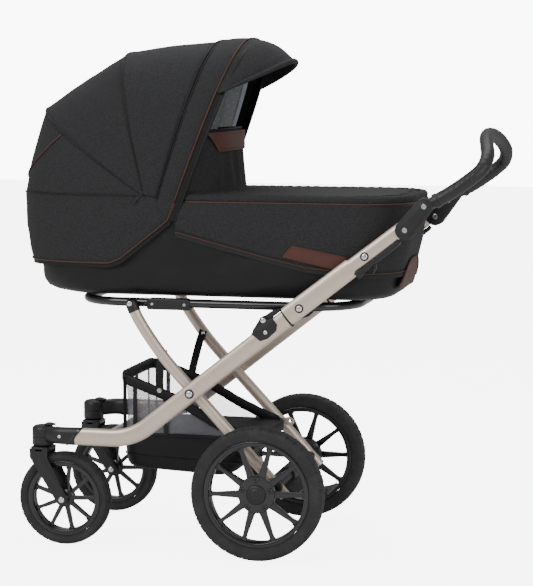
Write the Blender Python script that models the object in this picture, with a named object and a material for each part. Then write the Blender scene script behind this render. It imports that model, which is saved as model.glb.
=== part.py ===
"""Baby pram: folding tube chassis, swivelling front wheels, carrier ring and carrycot with a folding hood.

Metres, +Z up. The pram travels towards -X, the push handle is at +X, and it is symmetric about Y = 0.
The origin lies on the ground under the middle of the pram. Side -1 is the pram's left, +1 its right.
"""
import math

import bmesh
import bpy
from mathutils import Vector

# ---- driving dimensions -------------------------------------------------------------------------------
GAP = 0.0003                      # clearance between touching pieces

REAR_RADIUS, REAR_WIDTH = 0.150, 0.047
REAR_AXLE = (0.051, 0.150)        # x, z of the rear wheels' axis
REAR_TRACK = 0.238                # half the distance between the rear wheels
FRONT_RADIUS, FRONT_WIDTH = 0.107, 0.040
FRONT_AXLE = (-0.415, 0.107)
FRONT_TRACK = 0.185
SPOKE_TURN = math.radians(2)      # where the first spoke stands
STEM_X = -0.468                   # castor swivel axis, ahead of the wheel's axis
HOUSING_BOTTOM, HOUSING_TOP = 0.2265, 0.274

TUBE_Y = 0.210                    # middle of the long frame tubes
TUBE_WIDE, TUBE_TALL = 0.022, 0.040
TUBE_ANGLE = math.radians(38.5)
TUBE_FRONT_Z = 0.255              # height of the level front stretch
TUBE_WALL = 0.0025
PIVOT = (-0.110, 0.364)           # x, z where the legs cross the frame tubes
HINGE_UV = (0.238, 0.028)         # fold hinge: along and above the frame tube from PIVOT
SEAM_U = 0.280                    # where the lower frame tube ends
RING_JOINT_UV = (0.319, 0.0)      # carrier ring's rear bolt, on the upper tube
TILT_UV = (0.6106, -0.0065)       # handle tilt hinge
TRIGGER_UV = (0.505, -0.026)      # fold trigger, on the underside of the upper tube
BUTTON = (0.4030, 0.7785)         # x, z of the tilt buttons

LEG_Y, LEG_RADIUS = 0.185, 0.013
LEG_TOP = (-0.255, 0.560)         # x, z of the bolt between leg top and carrier ring
CROSS_TUBE = (0.080, 0.160)
CROSS_RADIUS = 0.0125

RING_Z, RING_RADIUS = 0.560, 0.010
RING_FRONT, RING_REAR, RING_Y, RING_CORNER = -0.394, 0.245, 0.160, 0.11

COT_HEAD, COT_FOOT, COT_TOP = -0.530, 0.368, 0.785
COT_HALF, COT_WALL = 0.187, 0.012
HOOD_PIVOT = (-0.175, 0.756)
HOOD_RADIUS, HOOD_HALF = 0.385, 0.193
HOOD_STEP, HOOD_SHEET = 0.0050, 0.0035    # each hood panel lies outside the one behind it
HOOD_FACET = 6.0                  # degrees; finer than the nesting gap needs
HOOD_ANGLES = (70.0, 108.0, 144.0, 172.0)  # rim, hoops and back edge, from +X towards +Z

BASKET_FRONT, BASKET_REAR, BASKET_HALF = -0.300, 0.028, 0.135
BASKET_WALL = 0.006
BASKET_RIM, BASKET_RIM_DROP = 0.400, 0.155    # rim height at the front and its fall to the rear
TRAY_TOP, TRAY_FLOOR = 0.255, 0.171           # stiff lower tray


# ---- small tools --------------------------------------------------------------------------------------
def along(u, v=0.0):
    """x and z of a point u along and v above the sloping frame tube."""
    c, s = math.cos(TUBE_ANGLE), math.sin(TUBE_ANGLE)
    return PIVOT[0] + u * c - v * s, PIVOT[1] + u * s + v * c


def material(name, colour, roughness, metallic=0.0):
    made = bpy.data.materials.new(name)
    made.use_nodes = True
    shader = made.node_tree.nodes["Principled BSDF"]
    shader.inputs["Base Color"].default_value = (*colour, 1.0)
    shader.inputs["Roughness"].default_value = roughness
    shader.inputs["Metallic"].default_value = metallic
    return made


def empty(name, x, y, z, parent=None):
    made = bpy.data.objects.new(name, None)
    bpy.context.collection.objects.link(made)
    made.parent = parent
    base = Vector(parent["at"]) if parent else Vector()
    made.location = Vector((x, y, z)) - base
    made["at"] = (x, y, z)
    return made


def finish(bm, name, body, mat, smooth=35):
    """Store a mesh built in world coordinates as an object under its body's empty."""
    bmesh.ops.recalc_face_normals(bm, faces=bm.faces)
    base = Vector(body["at"])
    bmesh.ops.translate(bm, vec=-base, verts=bm.verts)
    mesh = bpy.data.meshes.new(name)
    bm.to_mesh(mesh)
    bm.free()
    mesh.shade_smooth()
    mesh.set_sharp_from_angle(angle=math.radians(smooth))
    made = bpy.data.objects.new(name, mesh)
    bpy.context.collection.objects.link(made)
    made.parent = body
    mesh.materials.append(mat)
    return made


def combine(target, other, operation):
    """Union with, or difference from, a hidden helper object."""
    other.hide_render = True
    other.display_type = "WIRE"
    step = target.modifiers.new(operation.title(), "BOOLEAN")
    step.operation = operation
    step.object = other
    step.solver = "EXACT"


def loops_to_mesh(rings, closed_path=False, capped=True):
    """Join equal rings of points into tubes of quads; ngon caps where asked."""
    bm = bmesh.new()
    rows = [[bm.verts.new(p) for p in ring] for ring in rings]
    size = len(rows[0])
    pairs = list(zip(rows, rows[1:]))
    if closed_path:
        pairs.append((rows[-1], rows[0]))
    for one, two in pairs:
        for j in range(size):
            k = (j + 1) % size
            bm.faces.new((one[j], one[k], two[k], two[j]))
    if capped and not closed_path:
        bm.faces.new(rows[0])
        bm.faces.new(rows[-1])
    return bm


def circle(radius, count, start=0.0):
    step = 2 * math.pi / count
    return [(radius * math.cos(start + i * step), radius * math.sin(start + i * step)) for i in range(count)]


def oval(wide, tall, count=12, power=2.6):
    """Rounded flat-sided section as (side, up) offsets."""
    points = []
    for i in range(count):
        c, s = math.cos(2 * math.pi * i / count), math.sin(2 * math.pi * i / count)
        points.append((math.copysign(abs(c) ** (2 / power), c) * wide / 2,
                       math.copysign(abs(s) ** (2 / power), s) * tall / 2))
    return points


def sweep(path, sections, side=(0, 1, 0), closed=False, wall=0.0, shear=0.0):
    """Sweep (side, up) sections along a path; a wall makes it an open-ended tube."""
    path = [Vector(p) for p in path]
    count = len(path)
    if not isinstance(sections[0][0], (list, tuple)):
        sections = [sections] * count
    side, outer, inner = Vector(side), [], []
    for i, point in enumerate(path):
        before = path[i - 1] if closed or i else point
        after = path[(i + 1) % count] if closed or i < count - 1 else point
        tangent = (after - before).normalized()
        side = (side - tangent * side.dot(tangent)).normalized()
        up = tangent.cross(side)
        lean = shear if i == 0 else 0.0
        outer.append([point + side * a + up * b + tangent * lean * b for a, b in sections[i]])
        if wall:
            reach = max(a for a, b in sections[i])
            scale = (reach - wall) / reach
            inner.append([point + side * a * scale + up * b * scale + tangent * lean * b * scale
                          for a, b in sections[i]])
    if not wall:
        return loops_to_mesh(outer, closed)
    return loops_to_mesh(outer + inner[::-1], closed_path=True)


def turned(profile, centre, count=32):
    """Ring or disc turned about an axis along Y; profile holds (radius, y offset) points."""
    x, y, z = centre
    bm = bmesh.new()
    rows = []
    for radius, dy in profile:
        if radius == 0:
            rows.append([bm.verts.new((x, y + dy, z))])
        else:
            rows.append([bm.verts.new((x + a, y + dy, z + b)) for a, b in circle(radius, count)])
    closed = profile[0][0] > 0
    pairs = list(zip(rows, rows[1:])) + ([(rows[-1], rows[0])] if closed else [])
    for one, two in pairs:
        for j in range(count):
            k = (j + 1) % count
            if len(one) == 1:
                bm.faces.new((one[0], two[k], two[j]))
            elif len(two) == 1:
                bm.faces.new((one[j], one[k], two[0]))
            else:
                bm.faces.new((one[j], one[k], two[k], two[j]))
    return bm


def disc(radius, y0, y1):
    """Profile of a plain round pin for turned()."""
    return [(0, y0), (radius, y0), (radius, y1), (0, y1)]


def prism(outline, low, high, holes=(), axis="Y"):
    """Extrude an outline with holes: x, z points along Y, or x, y points along Z."""
    bm = bmesh.new()
    edges = []
    for loop in (outline, *holes):
        verts = [bm.verts.new((a, low, b) if axis == "Y" else (a, b, low)) for a, b in loop]
        edges += [bm.edges.new((verts[i - 1], verts[i])) for i in range(len(verts))]
    bmesh.ops.triangle_fill(bm, edges=edges, use_beauty=True)
    made = bmesh.ops.extrude_face_region(bm, geom=list(bm.faces))
    step = (0, high - low, 0) if axis == "Y" else (0, 0, high - low)
    bmesh.ops.translate(bm, vec=step, verts=[v for v in made["geom"] if isinstance(v, bmesh.types.BMVert)])
    return bm


def arc(centre, radius, start, end, count):
    """Points on an arc, angles in degrees."""
    found = []
    for i in range(count):
        angle = math.radians(start + (end - start) * i / (count - 1))
        found.append((centre[0] + radius * math.cos(angle), centre[1] + radius * math.sin(angle)))
    return found


def link(one, r_one, two, r_two, count=7):
    """Outline of a flat link with round ends about two x, z points."""
    turn = math.degrees(math.atan2(two[1] - one[1], two[0] - one[0]))
    return arc(one, r_one, turn + 90, turn + 270, count) + arc(two, r_two, turn - 90, turn + 90, count)


def rounded_plan(x0, x1, half, corner, count=4):
    """Rounded rectangle in plan, anticlockwise."""
    points = []
    for cx, cy, start in ((x1 - corner, half - corner, 0), (x0 + corner, half - corner, 90),
                          (x0 + corner, corner - half, 180), (x1 - corner, corner - half, 270)):
        points += arc((cx, cy), corner, start, start + 90, count)
    return points


def smooth_path(points, steps=4):
    """Points on a Catmull-Rom curve through the given ones."""
    points = [Vector(p) for p in points]
    ends = [points[0] * 2 - points[1], *points, points[-1] * 2 - points[-2]]
    found = []
    for i in range(1, len(ends) - 2):
        a, b, c, d = ends[i - 1:i + 3]
        for n in range(steps):
            t = n / steps
            found.append(0.5 * (2 * b + (c - a) * t + (2 * a - 5 * b + 4 * c - d) * t * t
                                + (3 * b - a - 3 * c + d) * t ** 3))
    return found + [points[-1]]


def side_name(side):
    return "left" if side < 0 else "right"


def spread(side, centre, near, far):
    """y range from offsets that point away from the pram's middle."""
    values = (side * (centre + near), side * (centre + far))
    return min(values), max(values)


# ---- lower frame --------------------------------------------------------------------------------------
def lower_tube(side, body, mats):
    bend_radius = 0.14
    corner_x = PIVOT[0] + (TUBE_FRONT_Z - PIVOT[1]) / math.tan(TUBE_ANGLE)
    start = corner_x - bend_radius * math.tan(TUBE_ANGLE / 2)
    bend = arc((start, TUBE_FRONT_Z + bend_radius), bend_radius, -90, -90 + math.degrees(TUBE_ANGLE), 7)
    path = [(-0.377, TUBE_FRONT_Z), *bend, along(SEAM_U)]
    path = [(x, side * TUBE_Y, z) for x, z in path]
    bm = sweep(path, oval(TUBE_WIDE, TUBE_TALL), wall=TUBE_WALL, shear=0.8)
    finish(bm, f"lower_tube_{side_name(side)}", body, mats["aluminium"])


def castor_housing(side, body, mats):
    """Moulding that plugs onto the front of the tube and carries the castor stem."""
    name = f"castor_housing_{side_name(side)}"
    y = side * FRONT_TRACK
    plan = [(STEM_X + a, y + b) for a, b in circle(0.0245, 24)]
    made = finish(prism(plan, HOUSING_BOTTOM, HOUSING_TOP, axis="Z"), name, body, mats["plastic"])
    path = [(-0.3785, side * TUBE_Y, TUBE_FRONT_Z), (-0.400, side * TUBE_Y, TUBE_FRONT_Z),
            (-0.425, side * (TUBE_Y - 0.003), TUBE_FRONT_Z),
            (-0.458, side * (FRONT_TRACK + 0.004), TUBE_FRONT_Z - 0.002)]
    sleeve = finish(sweep(path, oval(0.025, 0.040), shear=0.8), name + "_sleeve", body, mats["plastic"])
    combine(made, sleeve, "UNION")
    plan = [(STEM_X + a, y + b) for a, b in circle(0.0066, 12)]
    bore = finish(prism(plan, HOUSING_BOTTOM - 0.01, 0.260, axis="Z"), name + "_bore", body, mats["plastic"])
    combine(made, bore, "DIFFERENCE")


def fold_bracket(side, body, mats):
    """Saddle with two lugs that holds the fold hinge over the lower tube."""
    u, v = HINGE_UV
    top = [(u + a, v + b) for a, b in arc((0, 0), 0.009, 130, -40, 8)]
    lug = [(u - 0.036, 0.0205), (u - 0.033, 0.0255), *top, (u + 0.0095, 0.0205)]
    lug = [along(*p) for p in lug]
    hole = [along(u + a, v + b) for a, b in circle(0.0034, 10)]
    name = f"fold_bracket_{side_name(side)}"
    outer = prism(lug, *spread(side, TUBE_Y, 0.0063, 0.0108), holes=[hole])
    made = finish(outer, name, body, mats["plastic"])
    other = finish(prism(lug, *spread(side, TUBE_Y, -0.0108, -0.0063), holes=[hole]), name + "_lug", body,
                   mats["plastic"])
    block = [(u - 0.0355, 0.0207), (u - 0.0325, 0.0253), (u - 0.0095, 0.0300), (u - 0.0095, 0.0207)]
    block = prism([along(*p) for p in block], *spread(side, TUBE_Y, -0.0085, 0.0085))
    combine(made, finish(block, name + "_block", body, mats["plastic"]), "UNION")
    combine(made, other, "UNION")


def cross_member(body, mats):
    reach = TUBE_Y - TUBE_WIDE / 2 - 0.0006
    bm = turned([(0.0085, -reach), (0.011, -reach), (0.011, reach), (0.0085, reach)], (-0.318, 0, 0.250), 20)
    finish(bm, "front_cross_tube", body, mats["aluminium"])


def basket(body, mats):
    """Shopping basket: high at the front, its rim falling towards the rear axle."""
    lean, tail = 0.010, 0.060     # the floor's inset from the outline, and its shortfall at the rear

    def plan(inset, corner, front=0.0, rear=0.0):
        return rounded_plan(BASKET_FRONT + front + inset, BASKET_REAR - rear - inset,
                            BASKET_HALF - front - inset, corner)

    def rim(x):
        t = (x - BASKET_FRONT) / (BASKET_REAR - BASKET_FRONT)
        return BASKET_RIM - BASKET_RIM_DROP * t * (1.25 - 0.25 * t)

    def base(x):
        return TRAY_FLOOR - 0.05 * (x - BASKET_FRONT)

    outline, inside = plan(0.0, 0.035), plan(BASKET_WALL, 0.029)
    floor, floor_inside = plan(0.0, 0.030, lean, tail), plan(BASKET_WALL, 0.026, lean, tail)
    rings = [[(x, y, base(x)) for x, y in floor],
             [(x, y, min(TRAY_TOP, rim(x) - 0.004)) for x, y in outline],
             [(x, y, rim(x)) for x, y in outline],
             [(x, y, rim(x)) for x, y in inside],
             [(x, y, min(TRAY_TOP + 0.002, rim(x) - 0.003)) for x, y in inside],
             [(x, y, base(x) + 0.005) for x, y in floor_inside]]
    finish(loops_to_mesh(rings), "basket", body, mats["fabric"])


def lower_frame(body, mats):
    for side in (-1, 1):
        lower_tube(side, body, mats)
        castor_housing(side, body, mats)
        fold_bracket(side, body, mats)
    cross_member(body, mats)
    basket(body, mats)


# ---- castors and wheels -------------------------------------------------------------------------------
def castor(side, body, mats):
    """Two-legged fork with its stem in the housing, and the axle pin through it."""
    name, y = f"castor_fork_{side_name(side)}", side * FRONT_TRACK
    crown = rounded_plan(STEM_X - 0.023, STEM_X + 0.021, 0.031, 0.014, 4)
    crown = [(a, b + y) for a, b in crown]
    made = finish(prism(crown, 0.2158, HOUSING_BOTTOM - GAP, axis="Z"), name, body, mats["plastic"])
    leg = [(STEM_X - 0.023, HOUSING_BOTTOM - GAP - 0.0002), (STEM_X - 0.022, 0.195),
           *arc(FRONT_AXLE, 0.0135, 205, 385, 8), (STEM_X + 0.020, 0.205),
           (STEM_X + 0.021, HOUSING_BOTTOM - GAP - 0.0002)]
    hole = [(FRONT_AXLE[0] + a, FRONT_AXLE[1] + b) for a, b in circle(0.0044, 12)]
    for which, near, far in (("outer", 0.0245, 0.0308), ("inner", -0.0308, -0.0245)):
        plate = prism(leg, y + near, y + far, holes=[hole])
        combine(made, finish(plate, f"{name}_{which}", body, mats["plastic"]), "UNION")
    stem = [(STEM_X + a, y + b) for a, b in circle(0.006, 12)]
    combine(made, finish(prism(stem, 0.220, 0.258, axis="Z"), name + "_stem", body, mats["plastic"]), "UNION")
    pin = [(0, -0.0335), (0.0072, -0.0335), (0.0072, -0.0311), (0.004, -0.0311), (0.004, 0.0311),
           (0.0072, 0.0311), (0.0072, 0.0335), (0, 0.0335)]
    bm = turned(pin, (FRONT_AXLE[0], y, FRONT_AXLE[1]), 12)
    finish(bm, f"front_axle_{side_name(side)}", body, mats["steel"])


def tyre(name, centre, radius, width, bead, body, mats):
    half = width / 2
    profile = [(bead, -half * 0.72), (bead + 0.008, -half * 0.96), (radius - 0.012, -half),
               (radius - 0.004, -half * 0.78), (radius, -half * 0.30), (radius, half * 0.30),
               (radius - 0.004, half * 0.78), (radius - 0.012, half), (bead + 0.008, half * 0.96),
               (bead, half * 0.72)]
    finish(turned(profile, centre, 32), name, body, mats["rubber"])


def windows(centre, spokes, inner, outer, root, tip):
    """Gaps between tapered spokes as holes in a disc; root and tip are half widths."""
    holes = []
    for n in range(spokes):
        a, b = 2 * math.pi * n / spokes + SPOKE_TURN, 2 * math.pi * (n + 1) / spokes + SPOKE_TURN
        start, end = a + math.asin(tip / outer), b - math.asin(tip / outer)
        points = [(outer, start + (end - start) * i / 2) for i in range(3)]
        points += [(inner, b - math.asin(root / inner)), (inner, a + math.asin(root / inner))]
        holes.append([(centre[0] + r * math.cos(t), centre[1] + r * math.sin(t)) for r, t in points])
    return holes


def rim(name, centre, size, body, mats):
    """Rim band, spoked disc and hub barrel in one moulding."""
    x, y, z = centre
    half = size["half"]
    band = [(size["inner"], -half), (size["outer"], -half), (size["outer"], half), (size["inner"], half)]
    made = finish(turned(band, centre, 32), name, body, mats["gloss"])
    holes = windows((x, z), size["spokes"], size["flange"], size["inner"] - 0.001, size["root"], size["tip"])
    centre_hole = [(x + a, z + b) for a, b in circle(size["bore"] + 0.004, 16)]
    edge = [(x + a, z + b) for a, b in circle(size["inner"] * 0.45 + size["outer"] * 0.55, 28, 0.037)]
    disc_low, disc_high = sorted((y + size["face"][0], y + size["face"][1]))
    plate = prism(edge, disc_low, disc_high, holes=[*holes, centre_hole])
    combine(made, finish(plate, name + "_spokes", body, mats["gloss"]), "UNION")
    low, high = sorted(size["hub"])
    barrel = turned([(size["bore"], low), (size["hub_radius"], low), (size["hub_radius"], high),
                     (size["bore"], high)], centre, 24)
    combine(made, finish(barrel, name + "_hub", body, mats["gloss"]), "UNION")


def rear_wheel(side, body, mats):
    centre, end = (REAR_AXLE[0], side * REAR_TRACK, REAR_AXLE[1]), side_name(side)
    tyre(f"rear_tyre_{end}", centre, REAR_RADIUS, REAR_WIDTH, 0.1198, body, mats)
    size = {"inner": 0.109, "outer": 0.1194, "half": 0.0175, "spokes": 10, "flange": 0.040, "root": 0.0085,
            "tip": 0.0035, "bore": 0.0066, "hub_radius": 0.020, "face": (side * 0.001, side * 0.013),
            "hub": (-side * 0.0195, side * 0.0165)}
    rim(f"rear_rim_{end}", centre, size, body, mats)
    profile = [(0, 0.0168), (0.0275, 0.0168), (0.0265, 0.0205), (0.018, 0.0225), (0, 0.0225)]
    bm = turned([(r, side * dy) for r, dy in profile], centre, 24)
    finish(bm, f"rear_hub_cap_{end}", body, mats["plastic"])


def front_wheel(side, body, mats):
    centre, end = (FRONT_AXLE[0], side * FRONT_TRACK, FRONT_AXLE[1]), side_name(side)
    tyre(f"front_tyre_{end}", centre, FRONT_RADIUS, FRONT_WIDTH, 0.0868, body, mats)
    size = {"inner": 0.0738, "outer": 0.0864, "half": 0.0145, "spokes": 9, "flange": 0.0185, "root": 0.0052,
            "tip": 0.0040, "bore": 0.0046, "hub_radius": 0.0135, "face": (side * -0.005, side * 0.005),
            "hub": (-side * 0.0238, side * 0.0238)}
    rim(f"front_rim_{end}", centre, size, body, mats)


def swivel_lock(side, body, mats):
    """Small lever on top of the castor housing."""
    z = HOUSING_TOP + GAP
    outline = [(STEM_X + 0.006, z), (STEM_X + 0.030, z), (STEM_X + 0.030, z + 0.003),
               (STEM_X + 0.014, z + 0.0055), (STEM_X + 0.006, z + 0.004)]
    y = side * FRONT_TRACK
    finish(prism(outline, y - 0.008, y + 0.008), f"swivel_lock_{side_name(side)}", body, mats["plastic"])


# ---- rear legs ----------------------------------------------------------------------------------------
def leg(side, body, mats):
    points = [(-0.2470, 0.5425), (-0.2360, 0.5210), (-0.2085, 0.4790), (-0.1690, 0.4280), PIVOT,
              (-0.030, 0.2785), CROSS_TUBE, (0.102, 0.1365)]
    path = smooth_path([(x, side * LEG_Y, z) for x, z in points], 2)
    bm = sweep(path, circle(LEG_RADIUS, 12), wall=TUBE_WALL)
    finish(bm, f"leg_{side_name(side)}", body, mats["aluminium"])


def leg_cap(side, body, mats):
    path = [(-0.2474, side * LEG_Y, 0.5432), (-0.2515, side * LEG_Y, 0.5530), (-0.2555, side * LEG_Y, 0.5640),
            (-0.2570, side * LEG_Y, 0.5690)]
    bm = sweep(path, [circle(r, 16) for r in (0.0134, 0.0128, 0.0115, 0.0070)])
    finish(bm, f"leg_cap_{side_name(side)}", body, mats["plastic"])


def axle_block(side, body, mats):
    """Block from the leg's end to the wheel's axis, with the stub axle and its collar."""
    inner = LEG_Y + LEG_RADIUS + 0.0005
    outline = link(CROSS_TUBE, 0.020, REAR_AXLE, 0.019)
    name = f"axle_block_{side_name(side)}"
    made = finish(prism(outline, *spread(side, 0, inner, 0.2150)), name, body, mats["plastic"])
    profile = [(0, 0.2100), (0.011, 0.2100), (0.011, 0.2180), (0.006, 0.2180), (0.006, 0.2530), (0, 0.2530)]
    stub = turned([(r, side * y) for r, y in profile], (REAR_AXLE[0], 0, REAR_AXLE[1]), 16)
    combine(made, finish(stub, name + "_stub", body, mats["steel"]), "UNION")


def rear_legs(body, mats):
    for side in (-1, 1):
        leg(side, body, mats)
        leg_cap(side, body, mats)
        axle_block(side, body, mats)
    reach = LEG_Y - LEG_RADIUS - 0.0005
    bm = turned([(CROSS_RADIUS - 0.0025, -reach), (CROSS_RADIUS, -reach), (CROSS_RADIUS, reach),
                 (CROSS_RADIUS - 0.0025, reach)], (CROSS_TUBE[0], 0, CROSS_TUBE[1]), 20)
    finish(bm, "rear_cross_tube", body, mats["aluminium"])


def brake_pedal(body, mats):
    """Foot brake: a collar round the cross tube with a curved foot plate behind it."""
    centre = (CROSS_TUBE[0], 0, CROSS_TUBE[1])
    made = finish(turned([(0.0130, -0.070), (0.0185, -0.070), (0.0185, 0.070), (0.0130, 0.070)], centre, 20),
                  "brake_pedal", body, mats["plastic"])
    x, z = CROSS_TUBE
    outer = arc((x + 0.050, z + 0.030), 0.085, 215, 300, 8)
    inner = arc((x + 0.050, z + 0.030), 0.078, 300, 213, 8)
    outline = [(x - 0.0155, z - 0.006), *outer, *inner, (x - 0.0140, z + 0.004)]
    plate = finish(prism(outline, -0.060, 0.060), "brake_pedal_plate", body, mats["plastic"])
    combine(made, plate, "UNION")


# ---- upper frame and handle ---------------------------------------------------------------------------
def upper_tube(side, body, mats):
    """Tall tube from the seam, stepping down to a slim one that ends inside the handle housing."""
    stations = [(SEAM_U + 0.0038, 0.0030, 0.046), (0.4670, 0.0005, 0.043), (0.4690, 0.0030, 0.032),
                (0.6240, 0.0005, 0.030)]
    path, sections = [], []
    for u, v, tall in stations:
        x, z = along(u, v)
        path.append((x, side * TUBE_Y, z))
        sections.append(oval(TUBE_WIDE, tall))
    bm = sweep(path, sections, wall=TUBE_WALL)
    finish(bm, f"upper_tube_{side_name(side)}", body, mats["aluminium"])


def fold_knuckle(side, body, mats):
    """Tongue between the bracket's lugs, on a plate that closes the upper tube's end."""
    u, v = HINGE_UV
    name = f"fold_knuckle_{side_name(side)}"
    nose = [(u + a, v + b) for a, b in arc((0, 0), 0.0068, 90, 270, 9)]
    tongue = [along(*p) for p in [*nose, (SEAM_U + 0.002, 0.0212), (SEAM_U + 0.002, 0.0250),
                                  (SEAM_U - 0.010, 0.0330)]]
    hole = [along(u + a, v + b) for a, b in circle(0.0034, 10)]
    made = finish(prism(tongue, *spread(side, TUBE_Y, -0.0058, 0.0058), holes=[hole]), name, body,
                  mats["plastic"])
    plate = [(SEAM_U + 0.0003, -0.018), (SEAM_U + 0.0003, 0.0255), (SEAM_U + 0.0035, 0.0255),
             (SEAM_U + 0.0035, -0.018)]
    plate = finish(prism([along(*p) for p in plate], *spread(side, TUBE_Y, -0.0095, 0.0095)),
                   name + "_plate", body, mats["plastic"])
    combine(made, plate, "UNION")


def hinge_pin(side, body, mats):
    """Pin through the fold hinge, with a head at each end."""
    x, z = along(*HINGE_UV)
    profile = [(0, -0.0130), (0.0056, -0.0130), (0.0056, -0.0111), (0.0031, -0.0111), (0.0031, 0.0111),
               (0.0056, 0.0111), (0.0056, 0.0130), (0, 0.0130)]
    bm = turned(profile, (x, side * TUBE_Y, z), 12)
    finish(bm, f"fold_hinge_pin_{side_name(side)}", body, mats["steel"])


def release_sleeve(side, body, mats):
    """Moulding under the slim tube that guides the fold trigger."""
    outline = [(0.4695, -0.0150), (0.4695, -0.0225), (0.4760, -0.0255), (0.5800, -0.0245), (0.5800, -0.0158)]
    bm = prism([along(*p) for p in outline], *spread(side, TUBE_Y, -0.0095, 0.0095))
    finish(bm, f"release_sleeve_{side_name(side)}", body, mats["plastic"])


def fold_trigger(side, body, mats):
    outline = [(0.5150, -0.0262), (0.5120, -0.0320), (0.4990, -0.0390), (0.4960, -0.0370), (0.5040, -0.0300),
               (0.5060, -0.0262)]
    bm = prism([along(*p) for p in outline], *spread(side, TUBE_Y, -0.0075, 0.0075))
    finish(bm, f"fold_trigger_{side_name(side)}", body, mats["plastic"])


def handle_housing(side, body, mats):
    """Two cheeks over the tube's end with a solid upper part that holds the handle bar."""
    low, high = along(*TILT_UV), (0.4130, 0.7905)
    name = f"handle_housing_{side_name(side)}"
    cheek = link(low, 0.0215, high, 0.0180, 9)
    made = finish(prism(cheek, *spread(side, TUBE_Y, 0.0114, 0.0155)), name, body, mats["plastic"])
    other = finish(prism(cheek, *spread(side, TUBE_Y, -0.0155, -0.0114)), name + "_cheek", body,
                   mats["plastic"])
    turn = math.atan2(high[1] - low[1], high[0] - low[0])
    ax, az = math.cos(turn), math.sin(turn)
    block = [(low[0] + ax * d - az * h, low[1] + az * d + ax * h)
             for d, h in ((0.0268, -0.0168), (0.0268, 0.0168), (0.0770, 0.0150), (0.0810, -0.0120))]
    block = finish(prism(block, *spread(side, TUBE_Y, -0.0135, 0.0135)), name + "_block", body,
                   mats["plastic"])
    combine(made, block, "UNION")
    combine(made, other, "UNION")
    x, z = BUTTON
    pocket = turned(disc(0.0106, *spread(side, TUBE_Y, -0.0200, -0.0045)), (x, 0, z), 20)
    combine(made, finish(pocket, name + "_pocket", body, mats["plastic"]), "DIFFERENCE")


def tilt_button(side, body, mats):
    profile = [(0, -0.0100), (0.0100, -0.0100), (0.0100, -0.0165), (0.0088, -0.0185), (0, -0.0185)]
    bm = turned([(r, side * (TUBE_Y + dy)) for r, dy in profile], (BUTTON[0], 0, BUTTON[1]), 20)
    finish(bm, f"tilt_button_{side_name(side)}", body, mats["plastic"])


def handle_path():
    """Middle line of the arched handle from the left housing to the right one."""
    half = [(0.4350, TUBE_Y, 0.8010), (0.4650, 0.2090, 0.8180), (0.5000, 0.2050, 0.8420),
            (0.5310, 0.1930, 0.8690), (0.5400, 0.1640, 0.8960), (0.5330, 0.1230, 0.9190),
            (0.5250, 0.0720, 0.9330), (0.5220, 0.0, 0.9375)]
    left = [(x, -y, z) for x, y, z in half]
    return left + [(x, y, z) for x, y, z in half[-2::-1]]


def handle(body, mats):
    path = smooth_path(handle_path(), 2)
    finish(sweep(path, circle(0.0130, 10)), "handle_bar", body, mats["plastic"])
    inner = smooth_path(handle_path()[1:-1], 2)
    bm = sweep(inner, circle(0.0163, 12), wall=0.0026)
    finish(bm, "handle_grip", body, mats["leather"])


# ---- carrier ring -------------------------------------------------------------------------------------
def carrier(body, mats):
    """Oval hoop under the carrycot, with a bush on each side for its rear bolt."""
    plan = rounded_plan(RING_FRONT, RING_REAR, RING_Y, RING_CORNER, 5)
    path = [(x, y, RING_Z) for x, y in plan]
    bm = sweep(path, circle(RING_RADIUS, 8), side=(0, 0, 1), closed=True)
    made = finish(bm, "carrier_ring", body, mats["plastic"])
    x, z = along(*RING_JOINT_UV)
    for side in (-1, 1):
        bush = turned(disc(0.008, *spread(side, 0, RING_Y, TUBE_Y - TUBE_WIDE / 2 - 0.0006)), (x, 0, z), 12)
        combine(made, finish(bush, f"carrier_bush_{side_name(side)}", body, mats["plastic"]), "UNION")


# ---- carrycot -----------------------------------------------------------------------------------------
def cot_tub(body, mats):
    """Double-walled tub, its bottom edge rounded."""
    outer = [(0.0718, 0.0370, 0.5720, 0.155), (0.0400, 0.0180, 0.5860, 0.173),
             (0.0230, 0.0080, 0.6120, 0.182), (0.0080, 0.0020, 0.7000, 0.186),
             (0.0, 0.0, COT_TOP, COT_HALF)]
    rings = []
    for head, foot, z, half in outer:
        corner = 0.115 - head * 0.6
        rings.append([(x, y, z) for x, y in rounded_plan(COT_HEAD + head, COT_FOOT - foot, half, corner)])
    for z, head, foot in ((COT_TOP, 0.0, 0.0), (0.7000, 0.008, 0.002), (0.6000, 0.030, 0.016)):
        plan = rounded_plan(COT_HEAD + head + COT_WALL, COT_FOOT - foot - COT_WALL,
                            COT_HALF - COT_WALL - head * 0.2, 0.103 - head * 0.6)
        rings.append([(x, y, z) for x, y in plan])
    finish(loops_to_mesh(rings), "cot_tub", body, mats["softshell"])


def slab(name, x0, x1, half, corner, z0, z1, body, mat):
    edge = rounded_plan(x0, x1, half, corner)
    inset = rounded_plan(x0 + 0.005, x1 - 0.005, half - 0.005, corner - 0.005)
    middle = z1 - 0.005
    rings = [[(x, y, z0) for x, y in inset], [(x, y, z0 + 0.004) for x, y in edge],
             [(x, y, middle) for x, y in edge], [(x, y, z1) for x, y in inset]]
    finish(loops_to_mesh(rings), name, body, mat)


def wind_flap(body, mats):
    """Upright fabric flap across the hood's opening, bowed forwards."""
    steps = 8
    rings = []
    for i in range(steps + 1):
        y = 0.165 * (2 * i / steps - 1)
        x = -0.068 - 0.030 * (y / 0.165) ** 2
        rings.append([(x, y, 0.8065), (x + 0.005, y, 0.8065), (x + 0.005, y, 0.945), (x, y, 0.945)])
    finish(loops_to_mesh(rings), "wind_flap", body, mats["fabric"])


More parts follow.
